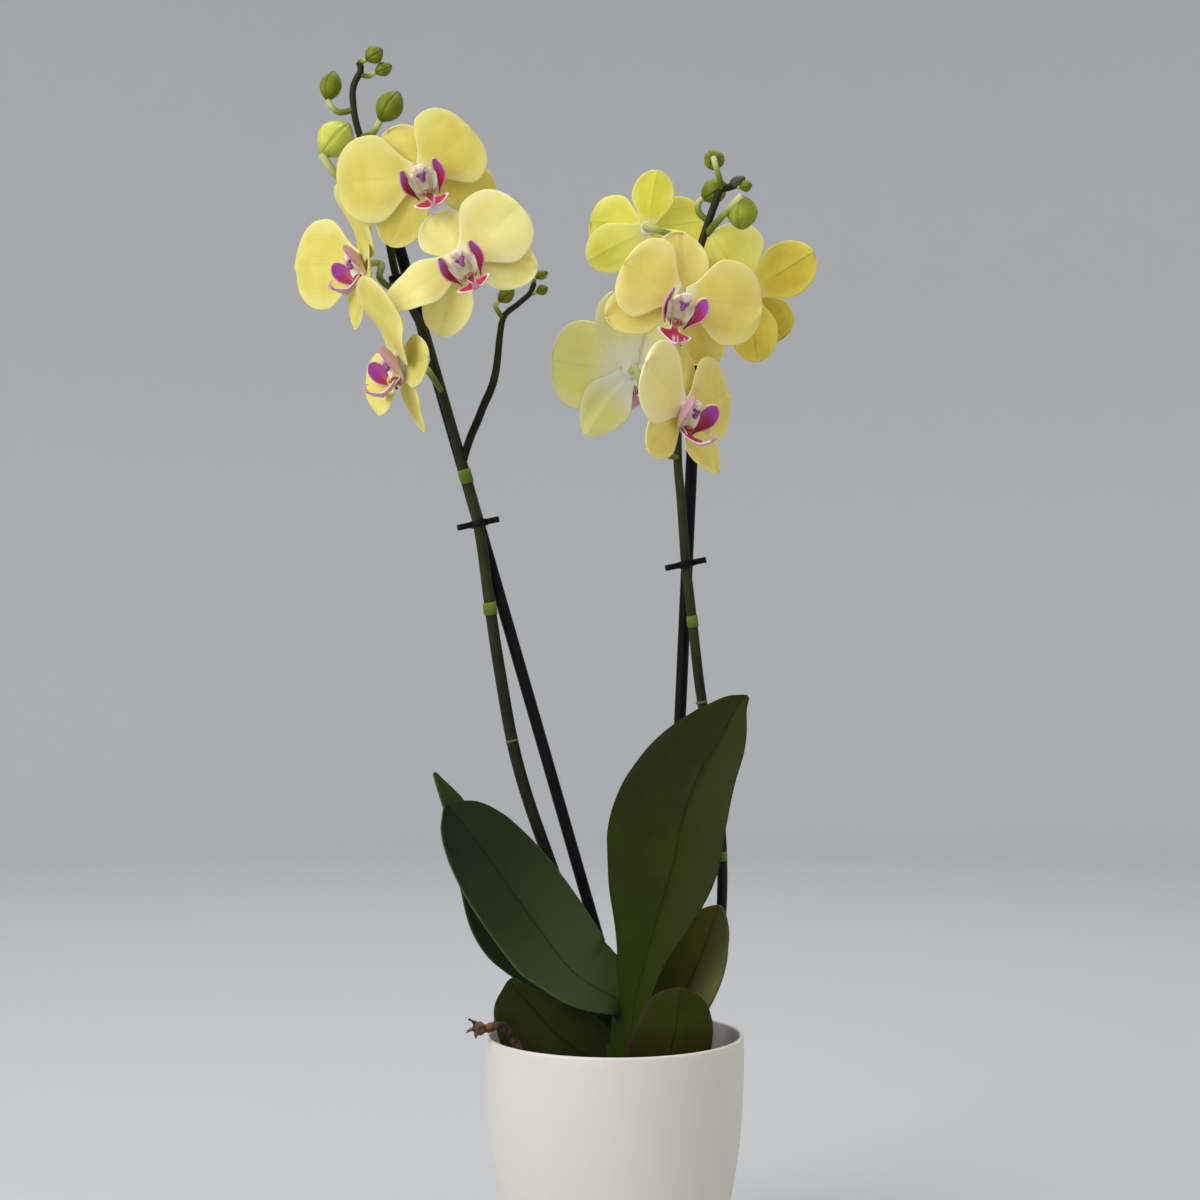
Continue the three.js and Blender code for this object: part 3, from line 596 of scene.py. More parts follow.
# Each leaf: its midrib, the way its upper side faces, its half-widths along it, how many
# degrees it folds up, and how far its left half is tucked in at its foot.
LEAVES = dict(
    leaf_tall_right=dict(
        midrib=[
            [6.5, -9.5, 104], [7.5, -13, 119], [11, -15, 143], [16.5, -17, 167], [23, -19, 190],
            [31, -20, 217], [35.5, -20, 240], [43.5, -19, 261], [54, -18, 279], [62.5, -18, 295],
            [68.5, -19, 302],
        ],
        face=[-0.65, -0.76, 0.1],
        half_widths=[
            [0, 9], [0.21, 12.5], [0.32, 17.5], [0.45, 31], [0.57, 38], [0.68, 36], [0.79, 28.5],
            [0.89, 20], [0.95, 11], [1, 0.5],
        ],
        fold=24, finish="upright",
    ),
    leaf_big_left=dict(
        midrib=[
            [2, -3, 103], [4, -5, 124], [2.5, -11, 142], [-11.5, -21, 152.5],
            [-24, -26, 163], [-49.8, -29, 198.3], [-73.4, -28, 231.2], [-86.5, -27, 247],
        ],
        face=[0.35, -0.85, 0.4],
        half_widths=[
            [0, 7], [0.13, 11], [0.26, 20], [0.4, 24.5], [0.55, 26], [0.72, 25.5], [0.85, 22],
            [0.94, 15], [0.98, 7], [1, 0.8],
        ],
        fold=14, tucked=0.8, finish="spreading",
    ),
    leaf_hooked_left=dict(
        midrib=[
            [5, 1, 97], [3, 0, 120], [-16, -4, 142], [-41, -5, 155], [-54.5, -5, 167.5],
            [-65, -4, 182], [-72, -3, 205], [-80, -1, 234], [-94.5, 2, 261],
        ],
        face=[0.5, -0.65, 0.55],
        half_widths=[[0, 7], [0.2, 9], [0.4, 13], [0.55, 15.5], [0.75, 12.5], [0.9, 7.5], [1, 0.8]],
        fold=12, tucked=0.9, finish="hooked",
    ),
    leaf_low_left=dict(
        midrib=[
            [0, 0, 96], [-7, 1, 106], [-19, 2, 115], [-32, 4, 125], [-43, 7, 137], [-56, 10, 151],
        ],
        face=[-0.3, -0.9, 0.45],
        half_widths=[[0, 18], [0.2, 28], [0.45, 29], [0.75, 24], [0.93, 15], [1, 1]],
        fold=8, tucked=0.5, finish="shaded",
    ),
    leaf_short_front=dict(
        midrib=[
            [9, -9.5, 95.5], [17, -21, 97.5], [24.5, -30.5, 110], [30, -36, 130], [32, -37, 144],
            [33.5, -37, 155],
        ],
        face=[0, 0.75, 0.65],
        half_widths=[[0, 6], [0.25, 11], [0.45, 21], [0.65, 21], [0.85, 17], [0.95, 11], [1, 1]],
        fold=8, finish="purple_edged", underside="purple_edged",
    ),
    leaf_mid_right=dict(
        midrib=[
            [13.5, -1.5, 97], [21, -2, 118], [32, -2, 138], [42, -4, 158], [49, -5, 176.5],
            [55, -6, 192.5],
        ],
        face=[-0.55, -0.82, 0.1],
        half_widths=[[0, 8], [0.2, 12], [0.45, 19], [0.7, 19], [0.88, 13], [0.96, 7], [1, 1]],
        fold=20, finish="olive",
    ),
)


def leaf_finish(name, codes, foot_light_and_shade_reach=0.42, edge_width=0.05):
    """The leaf's upper skin: long parallel veins, a fine edge, painted shade darkening the midrib
    groove, painted light on one half, and painted light and shade at the foot.
    """
    dark, light, lit_right_half, foot, edge = codes.split()
    finish = Finish(name, dark)
    across, along = finish.axes()
    side = abs(across - 0.5) * 2
    veins = finish.streaks(46, 2.2)
    clouds = finish.speckle(26, 3)
    pores = finish.speckle(1500, 1)
    finish.over(clouds.rise(0.3, 0.7), light)
    # Painted light: the right half is laid over with a lighter colour, as where it turns towards
    # the lamp.
    finish.over(across.rise(0.47, 0.62) * 0.8, lit_right_half)
    finish.over(veins.rise(0.5, 0.8) * 0.2, light)
    # Painted light and shade over the foot of the leaf, as set out for each finish below.
    finish.over(along.rise(foot_light_and_shade_reach, 0.05) * 0.85, foot)
    # Painted shade: the sunken midrib groove is darkened.
    groove = side.rise(0.035, 0.0)
    finish.over(groove * 0.5, "12160a")
    edge_line = side + clouds * 0.04
    finish.over(edge_line.rise(1.02 - edge_width, 1.02) * 0.7, edge)
    relief = veins * 0.2 + pores * 0.1 - groove * 0.6
    roughness = 0.44 + clouds * 0.14
    return finish.surface(roughness, relief, 0.0003, Specular_IOR_Level=0.06)


# The foot colours are painted light and shade: a green glow on the upright leaf, a sheen over the
# spreading leaf's lower part, and shade on the hooked leaf where it lies under the big leaf.
LEAF_FINISHES = {
    "upright": leaf_finish("upright_leaf_skin", "222704 2b3208 34381a 303e0c 262e10"),
    "spreading": leaf_finish("spreading_leaf_skin", "1c2110 262c18 252b16 526038 56603a", 0.8),
    "hooked": leaf_finish("hooked_leaf_skin", "34441f 405026 3a4822 14170f 3c482a", 1.5),
    "shaded": leaf_finish("shaded_leaf_skin", "252a0c 313714 2c3212 2c3010 363d20"),
    "purple_edged": leaf_finish(
        "purple_edged_leaf_skin", "2b2f09 373c12 303410 343d0c 3a2820", edge_width=0.14
    ),
    # Painted light: the olive skin is lighter than the leaf's own colour, for a leaf that lies in
    # the tall leaf's shade.
    "olive": leaf_finish("olive_leaf_skin", "50541c 5f632a 727446 3f4714 5a3a28", edge_width=0.08),
}
LEAF_UNDERSIDE = leaf_finish("leaf_underside", "262b16 333920 2e341c 38421e 3c4328")


def width_table(stations):
    """Half-widths at even steps along a leaf, from a smooth line through the stations."""
    line = course([(x * WIDTH_STEPS / 2, y, 0) for x, y in stations], 0.4)
    goals = [step / 2 for step in range(WIDTH_STEPS + 1)]
    return [max(0.2, spot.y) for spot in where(line, [spot.x for spot in line], goals)]


def thicken(made, thickness):
    """Gives a sheet the thickness of living tissue, in millimetres, and rounds its edge."""
    shell = made.modifiers.new("thickness", "SOLIDIFY")
    shell.thickness = thickness * MM
    shell.offset = 0
    shell.material_offset = 1
    smooth = made.modifiers.new("smooth", "SUBSURF")
    smooth.levels = smooth.render_levels = 1


def leaf(node, shape):
    line = course(shape["midrib"], 1.5)
    last = len(line) - 1
    widths = width_table(shape["half_widths"])
    upper = Vector(shape["face"])
    fold = tan(radians(shape["fold"])) * FOLD_SHARE

    def place(across, along):
        v = 2 * across - 1
        share = 1 - (1 - along) ** LEAF_CROWDING
        k = min(last - 1, int(share * last))
        centre = line[k].lerp(line[k + 1], share * last - k)
        tangent = (line[min(k + 2, last)] - line[max(k - 1, 0)]).normalized()
        up = (upper - tangent * upper.dot(tangent)).normalized()
        side = tangent.cross(up)
        half = widths[round(share * WIDTH_STEPS)]
        if v < 0:
            half *= 1 - shape.get("tucked", 0) * max(0, 1 - share / TUCK_REACH) ** 0.7
        raised = fold * half * (hypot(v, FOLD_ROUND) - FOLD_ROUND)
        wave = LEAF_WAVE * half * v * v * sin(9 * share + 2 * v + len(node))
        return centre + side * (half * v) + up * (raised + wave)

    bm = bmesh.new()
    sheet(bm, 18, 44, place)
    name = node.replace("leaf_", "") + "_leaf"
    underside = LEAF_FINISHES.get(shape.get("underside"), LEAF_UNDERSIDE)
    made = piece(name, bm, [LEAF_FINISHES[shape["finish"]], underside], node)
    thicken(made, LEAF_THICKNESS)


for node_name, leaf_shape in LEAVES.items():
    leaf(node_name, leaf_shape)

# ---- blooms ----
# A moth orchid bloom: three sepals behind two broad petals, round a pale column with a white cap.
# The petals are thin, soft and faintly pleated along their veins, and each bloom nods its own way.

SEGMENT_THICKNESS = 0.7
SEGMENT_ROOT = 2.4
HUB_BACK = 3.6
PETAL_CROWDING = 1.7
CREASE_HALF = 0.12
PETAL_UNEVEN = 1.6
PETAL_RIPPLE = 0.35
PETAL = dict(
    length=41, width=44, outline=(0.28, 0.5, 2.5), lift=1.3,
    sweep=8, curl=2, cup=-1.5, crease=0.5,
)
SEPAL = dict(
    length=38, width=26, outline=(0.38, 0.5, 2.1), lift=-1,
    sweep=10, curl=2, cup=1.2, crease=0.9,
)
# Each part of a bloom: its usual form, its angle from the bloom's top, and its unevenness.
SEGMENTS = dict(
    dorsal=({**SEPAL, "length": 34}, 0, 0),
    right_sepal=(SEPAL, 128, 0.31),
    left_sepal=(SEPAL, -128, 0.53),
    right_petal=(PETAL, 68, 0.71),
    left_petal=(PETAL, -68, 0.97),
)
# Each bloom: where its centre is, which way it faces and rolls, and what in it is unusual.
BLOOMS = dict(
    left_1=dict(
        centre=(-96.9, -57, 562.8), azimuth=4, elevation=-5, roll=27, lip_turn=-5,
        dorsal=dict(angle=-8, length=28), right_petal=dict(angle=72, length=34, sweep=-4),
        left_petal=dict(length=42),
    ),
    left_2=dict(
        centre=(-77, -62, 519.4), azimuth=0, roll=35, lip_turn=-5,
        dorsal=dict(angle=5, length=28, width=28),
        right_petal=dict(angle=80, length=41, width=41),
        left_petal=dict(
            angle=-87, length=46, width=26, twist=-35, sweep=-6, outline=(0.45, 0.5, 1.6),
        ),
        finish="pale_lemon",
    ),
    left_3=dict(
        centre=(-129.8, -13.5, 525.3), azimuth=-65, roll=24,
        right_petal=dict(sweep=-28, twist=-15),
        left_petal=dict(angle=-62, length=47, width=48, sweep=-29),
        right_sepal=dict(sweep=-20), left_sepal=dict(sweep=-3, length=36),
    ),
    left_4=dict(
        centre=(-107.4, -50, 469.6), azimuth=-68, roll=50, lip_turn=-30,
        right_petal=dict(length=43, width=45, sweep=-32, twist=-14, outline=(0.8, 0.4, 2.1)),
        left_petal=dict(angle=-76, length=26, width=38, sweep=-31),
        right_sepal=dict(angle=140, sweep=4, width=27, length=32, outline=(0.7, 0.45, 2), side=1),
        left_sepal=dict(sweep=20, length=34, outline=(0.4, 0.4, 1.5)),
    ),
    right_1=dict(
        centre=(32.5, -48, 502.3), azimuth=20, roll=-24, lip_turn=8,
        lip_drop=3, droop=30, dorsal=dict(angle=-14, length=36, width=30, sweep=18),
        right_petal=dict(length=44.5, sweep=-3), left_petal=dict(angle=-84, length=33.5, sweep=2),
        right_sepal=dict(angle=115, length=40, sweep=20), finish="apricot",
    ),
    right_2=dict(
        centre=(33.8, -58, 445.2), azimuth=52, roll=-10,
        right_petal=dict(angle=63, length=43, sweep=0),
        # This left petal takes the lighter copy of the apricot skin: painted light.
        left_petal=dict(angle=-70, length=42, sweep=-8, side=2),
        right_sepal=dict(length=40, width=24, sweep=-8, outline=(0.4, 0.4, 1.5)),
        left_sepal=dict(angle=-132, sweep=-7), finish="apricot",
    ),
    right_3=dict(
        centre=(17.7, 32, 550), azimuth=180, roll=2, scale=0.9,
        dorsal=dict(angle=-8),
        right_petal=dict(angle=80, length=35, width=36, sweep=-28),
        left_petal=dict(angle=-76, length=35, width=34, sweep=-28),
        right_sepal=dict(angle=120, length=40, width=30, sweep=-8), finish="fresh",
    ),
    right_4=dict(
        centre=(8.3, 28, 473.5), azimuth=197, roll=-16, scale=1.1,
        dorsal=dict(length=39), right_petal=dict(length=39.5, sweep=-4),
        right_sepal=dict(length=39, outline=(0.4, 0.45, 1.6), sweep=-2), finish="pale",
    ),
    right_5=dict(
        centre=(71.4, 22, 514.7), azimuth=172, roll=52,
        dorsal=dict(angle=-9, length=40, width=30),
        right_petal=dict(angle=84, length=37, side=2),
        left_petal=dict(angle=-90, length=28, width=26, sweep=-45),
        left_sepal=dict(angle=-120), finish="dusky",
    ),
)


def stand(bloom):
    """The matrix that takes a bloom's own axes (+Z out of its face, +Y to its top) to its place."""
    a, e, r = (radians(bloom.get(key, 0)) for key in ("azimuth", "elevation", "roll"))
    out = Vector((sin(a) * cos(e), -cos(a) * cos(e), sin(e)))
    level = Vector((cos(a), sin(a), 0))
    top = out.cross(level) * cos(r) - level * sin(r)
    turn = Matrix((top.cross(out), top, out)).transposed().to_4x4()
    return Matrix.Translation(bloom["centre"]) @ turn @ Matrix.Scale(bloom.get("scale", 1), 4)


def smoothstep(share):
    held = min(1, max(0, share))
    return held * held * (3 - 2 * held)


def crease(v):
    """A narrow groove along the middle of a sheet."""
    return exp(-((v / CREASE_HALF) ** 2))


def segment(bm, shape, angle, seed):
    """Adds one petal or sepal, standing out from the column at an angle from the bloom's top."""
    shape = {"twist": 0, "angle": angle, **shape}
    turn = radians(shape["angle"])
    outward = Vector((sin(turn), cos(turn), 0))
    claw, widest, blunt = shape["outline"]

    def place(x, y):
        v = 2 * x - 1
        t = 1 - (1 - y) ** PETAL_CROWDING
        beyond = max(0, (t - widest) / (1 - widest))
        half = shape["width"] / 2 * lerp(claw, 1, smoothstep(t / widest))
        half *= max(0, 1 - beyond**blunt) ** (1 / blunt)
        reach = lerp(SEGMENT_ROOT, shape["length"], t)
        twist = radians(shape["twist"]) * smoothstep((t - 0.25) / 0.35)
        across = Vector((cos(turn), -sin(turn), 0)) * cos(twist)
        across.z = sin(twist)
        fall = reach**2 / (reach + 6) * tan(radians(shape["sweep"])) + shape["curl"] * t**3
        height = shape["lift"] - fall + shape["cup"] * v * v * t
        height -= shape["crease"] * crease(v) * smoothstep(t * 2) * (1 - 0.5 * t)
        height += PETAL_UNEVEN * t * noise.noise(Vector((1.5 * v, 2.2 * t, seed)))
        height += PETAL_RIPPLE * t * v * v * sin(11 * t + 5 * v + seed)
        return outward * reach + across * (half * v) + Vector((0, 0, height))

    sheet(bm, 14, 18, place, shape.get("side", 0))


def petal_finish(name, codes, vein_share=0.08, throat_reach=0.15):
    """Petal skin: a pale throat, a soft body colour, lighter edges and fine long veins."""
    body, light, deep, vein, throat = codes.split()
    finish = Finish(name, body)
    across, along = finish.axes()
    side = abs(across - 0.5) * 2
    veins = finish.streaks(34, 1.6)
    clouds = finish.speckle(55, 2)
    cells = finish.speckle(2600, 1)
    finish.over(clouds.rise(0.3, 0.7), deep)
    finish.over(side.rise(0.55, 1) * 0.6, light)
    finish.over(along.rise(0.6, 0.95) * 0.4, light)
    finish.over(veins.rise(0.52, 0.75) * vein_share, vein)
    middle = side.rise(0.06, 0) * along.rise(0.08, 0.3)
    finish.over(middle * (1.6 * vein_share), vein)
    finish.over(along.rise(throat_reach, 0.03), throat)
    relief = veins * 0.7 + cells * 0.1
    return finish.surface(
        0.55, relief, 0.0002, Specular_IOR_Level=0.2,
        Subsurface_Weight=0.35, Subsurface_Radius=(1, 0.85, 0.3), Subsurface_Scale=0.003,
    )


PETAL_FINISHES = {
    "lemon": [
        petal_finish("lemon_petal", "e2d672 ebe39b d9c860 bda93e e6dd9c", throat_reach=0.12),
        petal_finish("lemon_petal_back", "d6cd74 e0d892 cbc062 a39c44 e2e0b0", 0.12),
    ],
    "pale_lemon": [
        petal_finish("pale_lemon_petal", "f5e99a faf2b8 ecdd86 cab656 f4ecc4", throat_reach=0.12),
        petal_finish("pale_lemon_petal_back", "dfd688 e8e0a2 d4c974 aca658 e8e5bc", 0.12),
    ],
    "apricot": [
        petal_finish("apricot_petal", "ecdb7e f3e6a2 e3ce6a bfa84a efe6bc", throat_reach=0.12),
        petal_finish("apricot_petal_back", "dccc70 e8dc92 d0be5e a99b40 e6e0b4", 0.12),
        # Painted light: a lighter copy of the apricot front, for a near petal that turns away from
        # the lamp.
        petal_finish("painted_light_apricot_petal", "ffeca4 fff3be f9e494 d6ba5c f8f0d0"),
    ],
    "fresh": [
        petal_finish("fresh_petal", "e2d54a ece26c d4c43a a89c2c eeeac4"),
        petal_finish("fresh_petal_back", "f3ec74 f9f498 e6df50 98a02c e8e488", 0.2),
    ],
    "dusky": [
        petal_finish("dusky_petal", "d2c24c dccf66 c6b23c 988c2c e6e0b0"),
        petal_finish("dusky_petal_back", "d4c34c decf66 c4ae3c 867c26 d0c66c", 0.3),
        petal_finish("sunlit_petal_back", "f7ef8a faf4a6 ece26a a9a23e eeeaa8", 0.15),
    ],
    # Painted light in part: the pale skins are lighter than this bloom's own yellow, for a bloom
    # that stands in the others' shade, to stand for light that comes through its petals.
    "pale": [
        petal_finish("pale_petal", "efe48e f4eca8 e4d878 bab052 f5f0dc"),
        petal_finish("pale_petal_back", "f8f3a8 faf6c0 f4ee90 c4c874 faf9e6", 0.12, 0.4),
    ],
}


def petals(name, bloom, seed):
    bm = bmesh.new()
    for part, (usual, angle, unevenness) in SEGMENTS.items():
        segment(bm, {**usual, **bloom.get(part, {})}, angle, seed + unevenness)
    bmesh.ops.remove_doubles(bm, verts=bm.verts, dist=1e-3)
    finishes = PETAL_FINISHES[bloom.get("finish", "lemon")]
    made = piece(name + "_petals", bm, finishes, "bloom_" + name, stand(bloom))
    thicken(made, SEGMENT_THICKNESS)


for index, (bloom_name, bloom_shape) in enumerate(BLOOMS.items()):
    petals(bloom_name, bloom_shape, 3.7 * index)

# ---- lips and columns ----
# The lip under each column: two upright wings, cream and magenta inside and mauve outside, a
# ridged swelling between them, and an anchor-shaped tongue that ends in two curled threads.

LIP_THICKNESS = 0.8
WING_HALF = 5.4
WING_BULGE = (2.1, 0.8)
BOWL_HALF = 7.6
TONGUE_FOOT_HALF = 2.2
TONGUE_BARB_HALF = 9.4
TONGUE_TIP_HALF = 2.4
WING_FOOT = Vector((5.2, -11.5, 1.5))
WING_TOP = Vector((9.3, 4, 13.5))
WING_ACROSS = Vector((0.5, -0.63, 0.6))
WING_OUTWARD = Vector((0.85, 0.22, -0.48))
TONGUE_COURSE = [
    (0, -8.6, 2), (0, -10.6, 4.4), (0, -13.4, 7.4), (0, -15.6, 11), (0, -15.8, 15.5),
    (0, -13.8, 20),
]
TONGUE_HINGE = Vector((0, -9, 1.8))
TONGUE_DROOP = 8


def waxy(finish, roughness, relief, glow=0.1, depth=0.0002):
    """The surface of a small, juicy part that lets a little light through."""
    return finish.surface(roughness, relief, depth, Subsurface_Weight=glow, Subsurface_Scale=0.002)


def wing_inside():
    """Cream by the column, then magenta that turns red towards the foot, in a pale rim."""
    finish = Finish("wing_inside", "8c1322")
    across, along = finish.axes()
    streaks = finish.streaks(3, 22)
    finish.over(along.rise(0.12, 0.5), "ac2450")
    finish.over(along.rise(0.45, 0.82), "aa42a4")
    finish.over((across + streaks * 0.25).rise(0.34, 0.24), "8a1a3c")
    finish.over((across + streaks * 0.2).rise(0.28, 0.2), "e8dfa8")
    finish.over(across.rise(0.95, 1) * 0.7, "e3b6c8")
    return waxy(finish, 0.4, streaks)


def wing_outside():
    finish = Finish("wing_outside", "e6cdb4")
    across, along = finish.axes()
    streaks = finish.streaks(20, 3)
    finish.over(along.rise(0.1, 0.7), "cfa0b2")
    finish.over(streaks.rise(0.45, 0.75) * 0.35, "b97f9c")
    finish.over(across.rise(0.88, 1) * 0.6, "a83a78")
    return waxy(finish, 0.42, streaks)


def tongue_front():
    """Red wings in a pale rim, parted by a pale line, with an orange foot and a pink tip."""
    finish = Finish("tongue_front", "b01f3c")
    across, along = finish.axes()
    side = abs(across - 0.5) * 2
    mottle = finish.speckle(500)
    finish.over(mottle.rise(0.3, 0.7), "c43a58")
    finish.over(along.rise(0.26, 0.16), "c98a5c")
    finish.over(along.rise(0.58, 0.72), "ecd0d8")
    finish.over(side.rise(0.14, 0.05) * along.rise(0.36, 0.46), "eec8cf")
    finish.over(side.rise(0.8, 0.9), "f1dade")
    return waxy(finish, 0.42, mottle, depth=0.0001)


def lip_bowl():
    """The cream floor of the lip, with two yellowish ovals and red lines at its lower edge."""
    finish = Finish("lip_bowl", "efe9d2")
    across, along = finish.axes()
    streaks = finish.streaks(26, 4)
    oval = abs(abs(across - 0.5) - 0.24) * 2.4 + abs(along - 0.42)
    finish.over(oval.rise(0.34, 0.2), "dfd790")
    finish.over(along.rise(0.34, 0.1) * streaks.rise(0.4, 0.52), "8c1f2c")
    return waxy(finish, 0.45, streaks, 0.15)


def soft_part(name, base, spots, scale, low, high):
    """A small waxy part: a pale base with spots or a flush of another colour."""
    finish = Finish(name, base)
    pattern = finish.speckle(scale, 2)
    finish.over(pattern.rise(low, high), spots)
    return waxy(finish, 0.42, pattern, 0.15)


WING, WING_BACK, TONGUE, TONGUE_BACK, RIDGES, BOWL = range(6)
LIP_FINISHES = [
    wing_inside(),
    wing_outside(),
    tongue_front(),
    soft_part("tongue_back", "d3a0b6", "bb7f9f", 300, 0.45, 0.8),
    soft_part("ridged_orange", "bd8460", "8e2f36", 700, 0.42, 0.6),
    lip_bowl(),
]
COLUMN, CAP, HOLLOW = range(3)
COLUMN_FINISHES = [
    soft_part("column_white", "f3eddc", "e8d3c4", 200, 0.5, 0.8),
    soft_part("anther_cap", "f4e8d6", "e3b09c", 420, 0.45, 0.65),
    soft_part("column_hollow", "a2568c", "64285a", 500, 0.4, 0.7),
]


def lip_stand(bloom):
    """Where the lip and column are: as the bloom, but turned a little about its axis and lower."""
    lowered = Matrix.Translation((0, -bloom.get("lip_drop", 0), 0))
    return stand(bloom) @ Matrix.Rotation(radians(bloom.get("lip_turn", 0)), 4, "Z") @ lowered


def hang(bm, bloom, verts):
    """Lets the tongue, or the threads at its tip, hang from the tongue's hinge."""
    droop = Matrix.Rotation(radians(bloom.get("droop", TONGUE_DROOP)), 3, "X")
    bmesh.ops.rotate(bm, cent=TONGUE_HINGE, matrix=droop, verts=verts)


def tongue_half(t):
    """Half the tongue's width along it: a narrow foot, two wide barbs, then a taper to the tip."""
    if t < 0.46:
        return lerp(TONGUE_FOOT_HALF, TONGUE_BARB_HALF, smoothstep((t - 0.26) / 0.16))
    tip = lerp(TONGUE_BARB_HALF, TONGUE_TIP_HALF, smoothstep((t - 0.46) / 0.22))
    return tip * lerp(1, 0.4, max(0, (t - 0.68) / 0.32))


def lip(name, bloom):
    bm = bmesh.new()
    for side in (1, -1):

        def wing(x, y, side=side):
            v = 2 * x - 1
            half = WING_HALF * lerp(0.12, 1, smoothstep(y / 0.62))
            half *= sqrt(max(0.02, 1 - max(0, (y - 0.6) / 0.4) ** 2.4))
            bulge = (WING_BULGE[0] * (1 - v * v) + WING_BULGE[1]) * sin(pi * y)
            spot = WING_FOOT.lerp(WING_TOP, y) + WING_ACROSS * (half * v) + WING_OUTWARD * bulge
            spot.x *= side
            return spot

        made = sheet(bm, 10, 16, wing, WING)
        if side < 0:
            bmesh.ops.reverse_faces(bm, faces=faces_of(made))

    def bowl(x, y):
        v = 2 * x - 1
        half = BOWL_HALF * sqrt(max(0.05, 1 - (1 - y) ** 2.6))
        return Vector((half * v, lerp(-11.6, 2, y), 1 + 0.075 * (half * v) ** 2))

    sheet(bm, 12, 10, bowl, BOWL)
    line = course(TONGUE_COURSE, 0.3)

    def tongue(x, y):
        v = 2 * x - 1
        spot = line[round(y * (len(line) - 1))]
        half = tongue_half(y)
        sides = Vector((half * v, 0.022 * (half * v) ** 2, -0.1 * abs(half * v)))
        keel = 0.5 * crease(v) * smoothstep(y * 3)
        return spot + sides - Vector((0, keel, 0))

    made = sheet(bm, 14, 34, tongue, TONGUE)
    bmesh.ops.reverse_faces(bm, faces=faces_of(made))
    hang(bm, bloom, made)
    bmesh.ops.remove_doubles(bm, verts=bm.verts, dist=1e-3)
    made = piece(name + "_lip", bm, LIP_FINISHES, "lip_" + name, lip_stand(bloom))
    thicken(made, LIP_THICKNESS)


def ball(bm, centre, size, finish):
    """Adds a rounded lump with its own three radii."""
    made = bmesh.ops.create_uvsphere(bm, u_segments=20, v_segments=14, radius=1)["verts"]
    bmesh.ops.scale(bm, vec=size, verts=made)
    bmesh.ops.translate(bm, vec=centre, verts=made)
    give(made, finish)
    return made


def lip_ridges(name, bloom):
    """The ridged swelling at the foot of the tongue, and the two threads at its tip."""
    bm = bmesh.new()
    for side in (1, -1):
        bar(
            bm, [[side * 0.9, -8.4, 2.5], [side * 1.1, -9.2, 5], [side * 0.8, -10.2, 7.2]],
            lambda t, a: 0.3 + 1.05 * sin(pi * (0.12 + 0.8 * t)), 12, 0.8, 0,
        )
        thread = [[side * 0.3, -14, 19.8], [side * 1.1, -12.4, 21.2], [side * 1.9, -10.8, 20.6]]
        bar(bm, [*thread, [side * 1.7, -10.4, 19.2]], lambda t, a: lerp(0.7, 0.25, t), 10, 0.6, 1)
    hang(bm, bloom, [vert for vert in bm.verts if vert.co.z > 12])
    finishes = [LIP_FINISHES[RIDGES], LIP_FINISHES[TONGUE_BACK]]
    piece(name + "_lip_ridges", bm, finishes, "lip_" + name, lip_stand(bloom))


def column(name, bloom):
    """The column over the lip, with its cap and the dark hollow under it."""
    bm = bmesh.new()

    def body(t, a):
        return 4.6 * sin(pi * (0.3 + 0.6 * t)) ** 0.5 * (1 + 0.06 * cos(2 * a))

    bar(bm, [[0, 0, -2], [0, 0.6, 3], [0, 0.9, 6], [0, 0.4, 8.6]], body, 20, 0.6, COLUMN)
    ball(bm, (0, 2.6, 8.4), (3.6, 2.4, 1.9), CAP)
    ball(bm, (0, -2, 7.6), (1.5, 2.5, 1.6), HOLLOW)
    for side in (1, -1):
        spot = (side * 1.4, -0.7, 8)
        lobe = ball(bm, spot, (1.7, 0.95, 1.2), HOLLOW)
        turn = Matrix.Rotation(side * radians(40), 3, "Z")
        bmesh.ops.rotate(bm, cent=spot, matrix=turn, verts=lobe)
    piece(name + "_column", bm, COLUMN_FINISHES, "bloom_" + name, lip_stand(bloom))


for bloom_name, bloom_shape in BLOOMS.items():
    lip(bloom_name, bloom_shape)
    lip_ridges(bloom_name, bloom_shape)
    column(bloom_name, bloom_shape)

# ---- flower spikes ----
# Firm round stems, dark olive brown, with a dry sheath at each joint. Thinner green stalks carry
# the blooms, and the buds at the ends stay closed: yellow green, with three seams.

LEFT_STEM = [
    [-3, 9.5, 102], [-6.1, 11, 120], [-11.9, 10, 149], [-20.3, 6, 175.6], [-30.7, 4, 204.7],
    [-44.3, 1, 244], [-53.6, -1, 278], [-59.9, -3, 313.6], [-65, -4, 348.6], [-71.1, -6, 390.3],
    [-79.3, -10, 423], [-88.6, -13, 456], [-97.2, -17, 485.8], [-103.8, -20, 500.2],
    [-109, -22, 510], [-112.6, -23, 519], [-115.8, -24, 534], [-118.8, -25, 547],
    [-123.4, -25, 567.2], [-128.4, -25, 582.3],
    [-132.9, -25, 597.5], [-134.3, -25, 610.6], [-133, -25, 616.7], [-130.1, -25, 622.2],
    [-131.1, -25, 626.3],
]
BRANCH = [
    [-78.9, -10, 422], [-76, -11, 432], [-68.7, -13, 449.5], [-62.4, -15, 464.7],
    [-60.3, -16, 478], [-57.7, -17, 496], [-49.9, -18, 503.6], [-43.7, -18, 509],
    [-41.7, -18, 514.4],
]
RIGHT_STEM = [
    [4.5, 8.5, 104], [12, 7.5, 109], [28, 10, 118], [46.5, 12, 140.5], [51.8, 12, 153.7],
    [55.4, 11, 177.5], [56.4, 9, 193.5], [56.3, 6, 217.3], [54.7, 4, 241.6], [51, 2, 272.6],
    [45.7, 1, 297.8], [41.7, 0, 330.3], [39.2, -1, 351.2], [36.9, -2, 370.5], [36.1, -3, 382.5],
    [34.6, -4, 403.4], [33, -5, 419.1], [32.5, -5, 434.8], [33.1, -5, 455.8], [35.2, -5, 482.1],
    [39.4, -4, 513.5], [43.6, -3, 531.7], [46.9, -2, 542.2], [49.8, -1, 550.9], [52.6, -1, 558.6],
    [55, -2, 565.1], [59.5, -2, 566.4], [63.9, -2, 568.3],
]
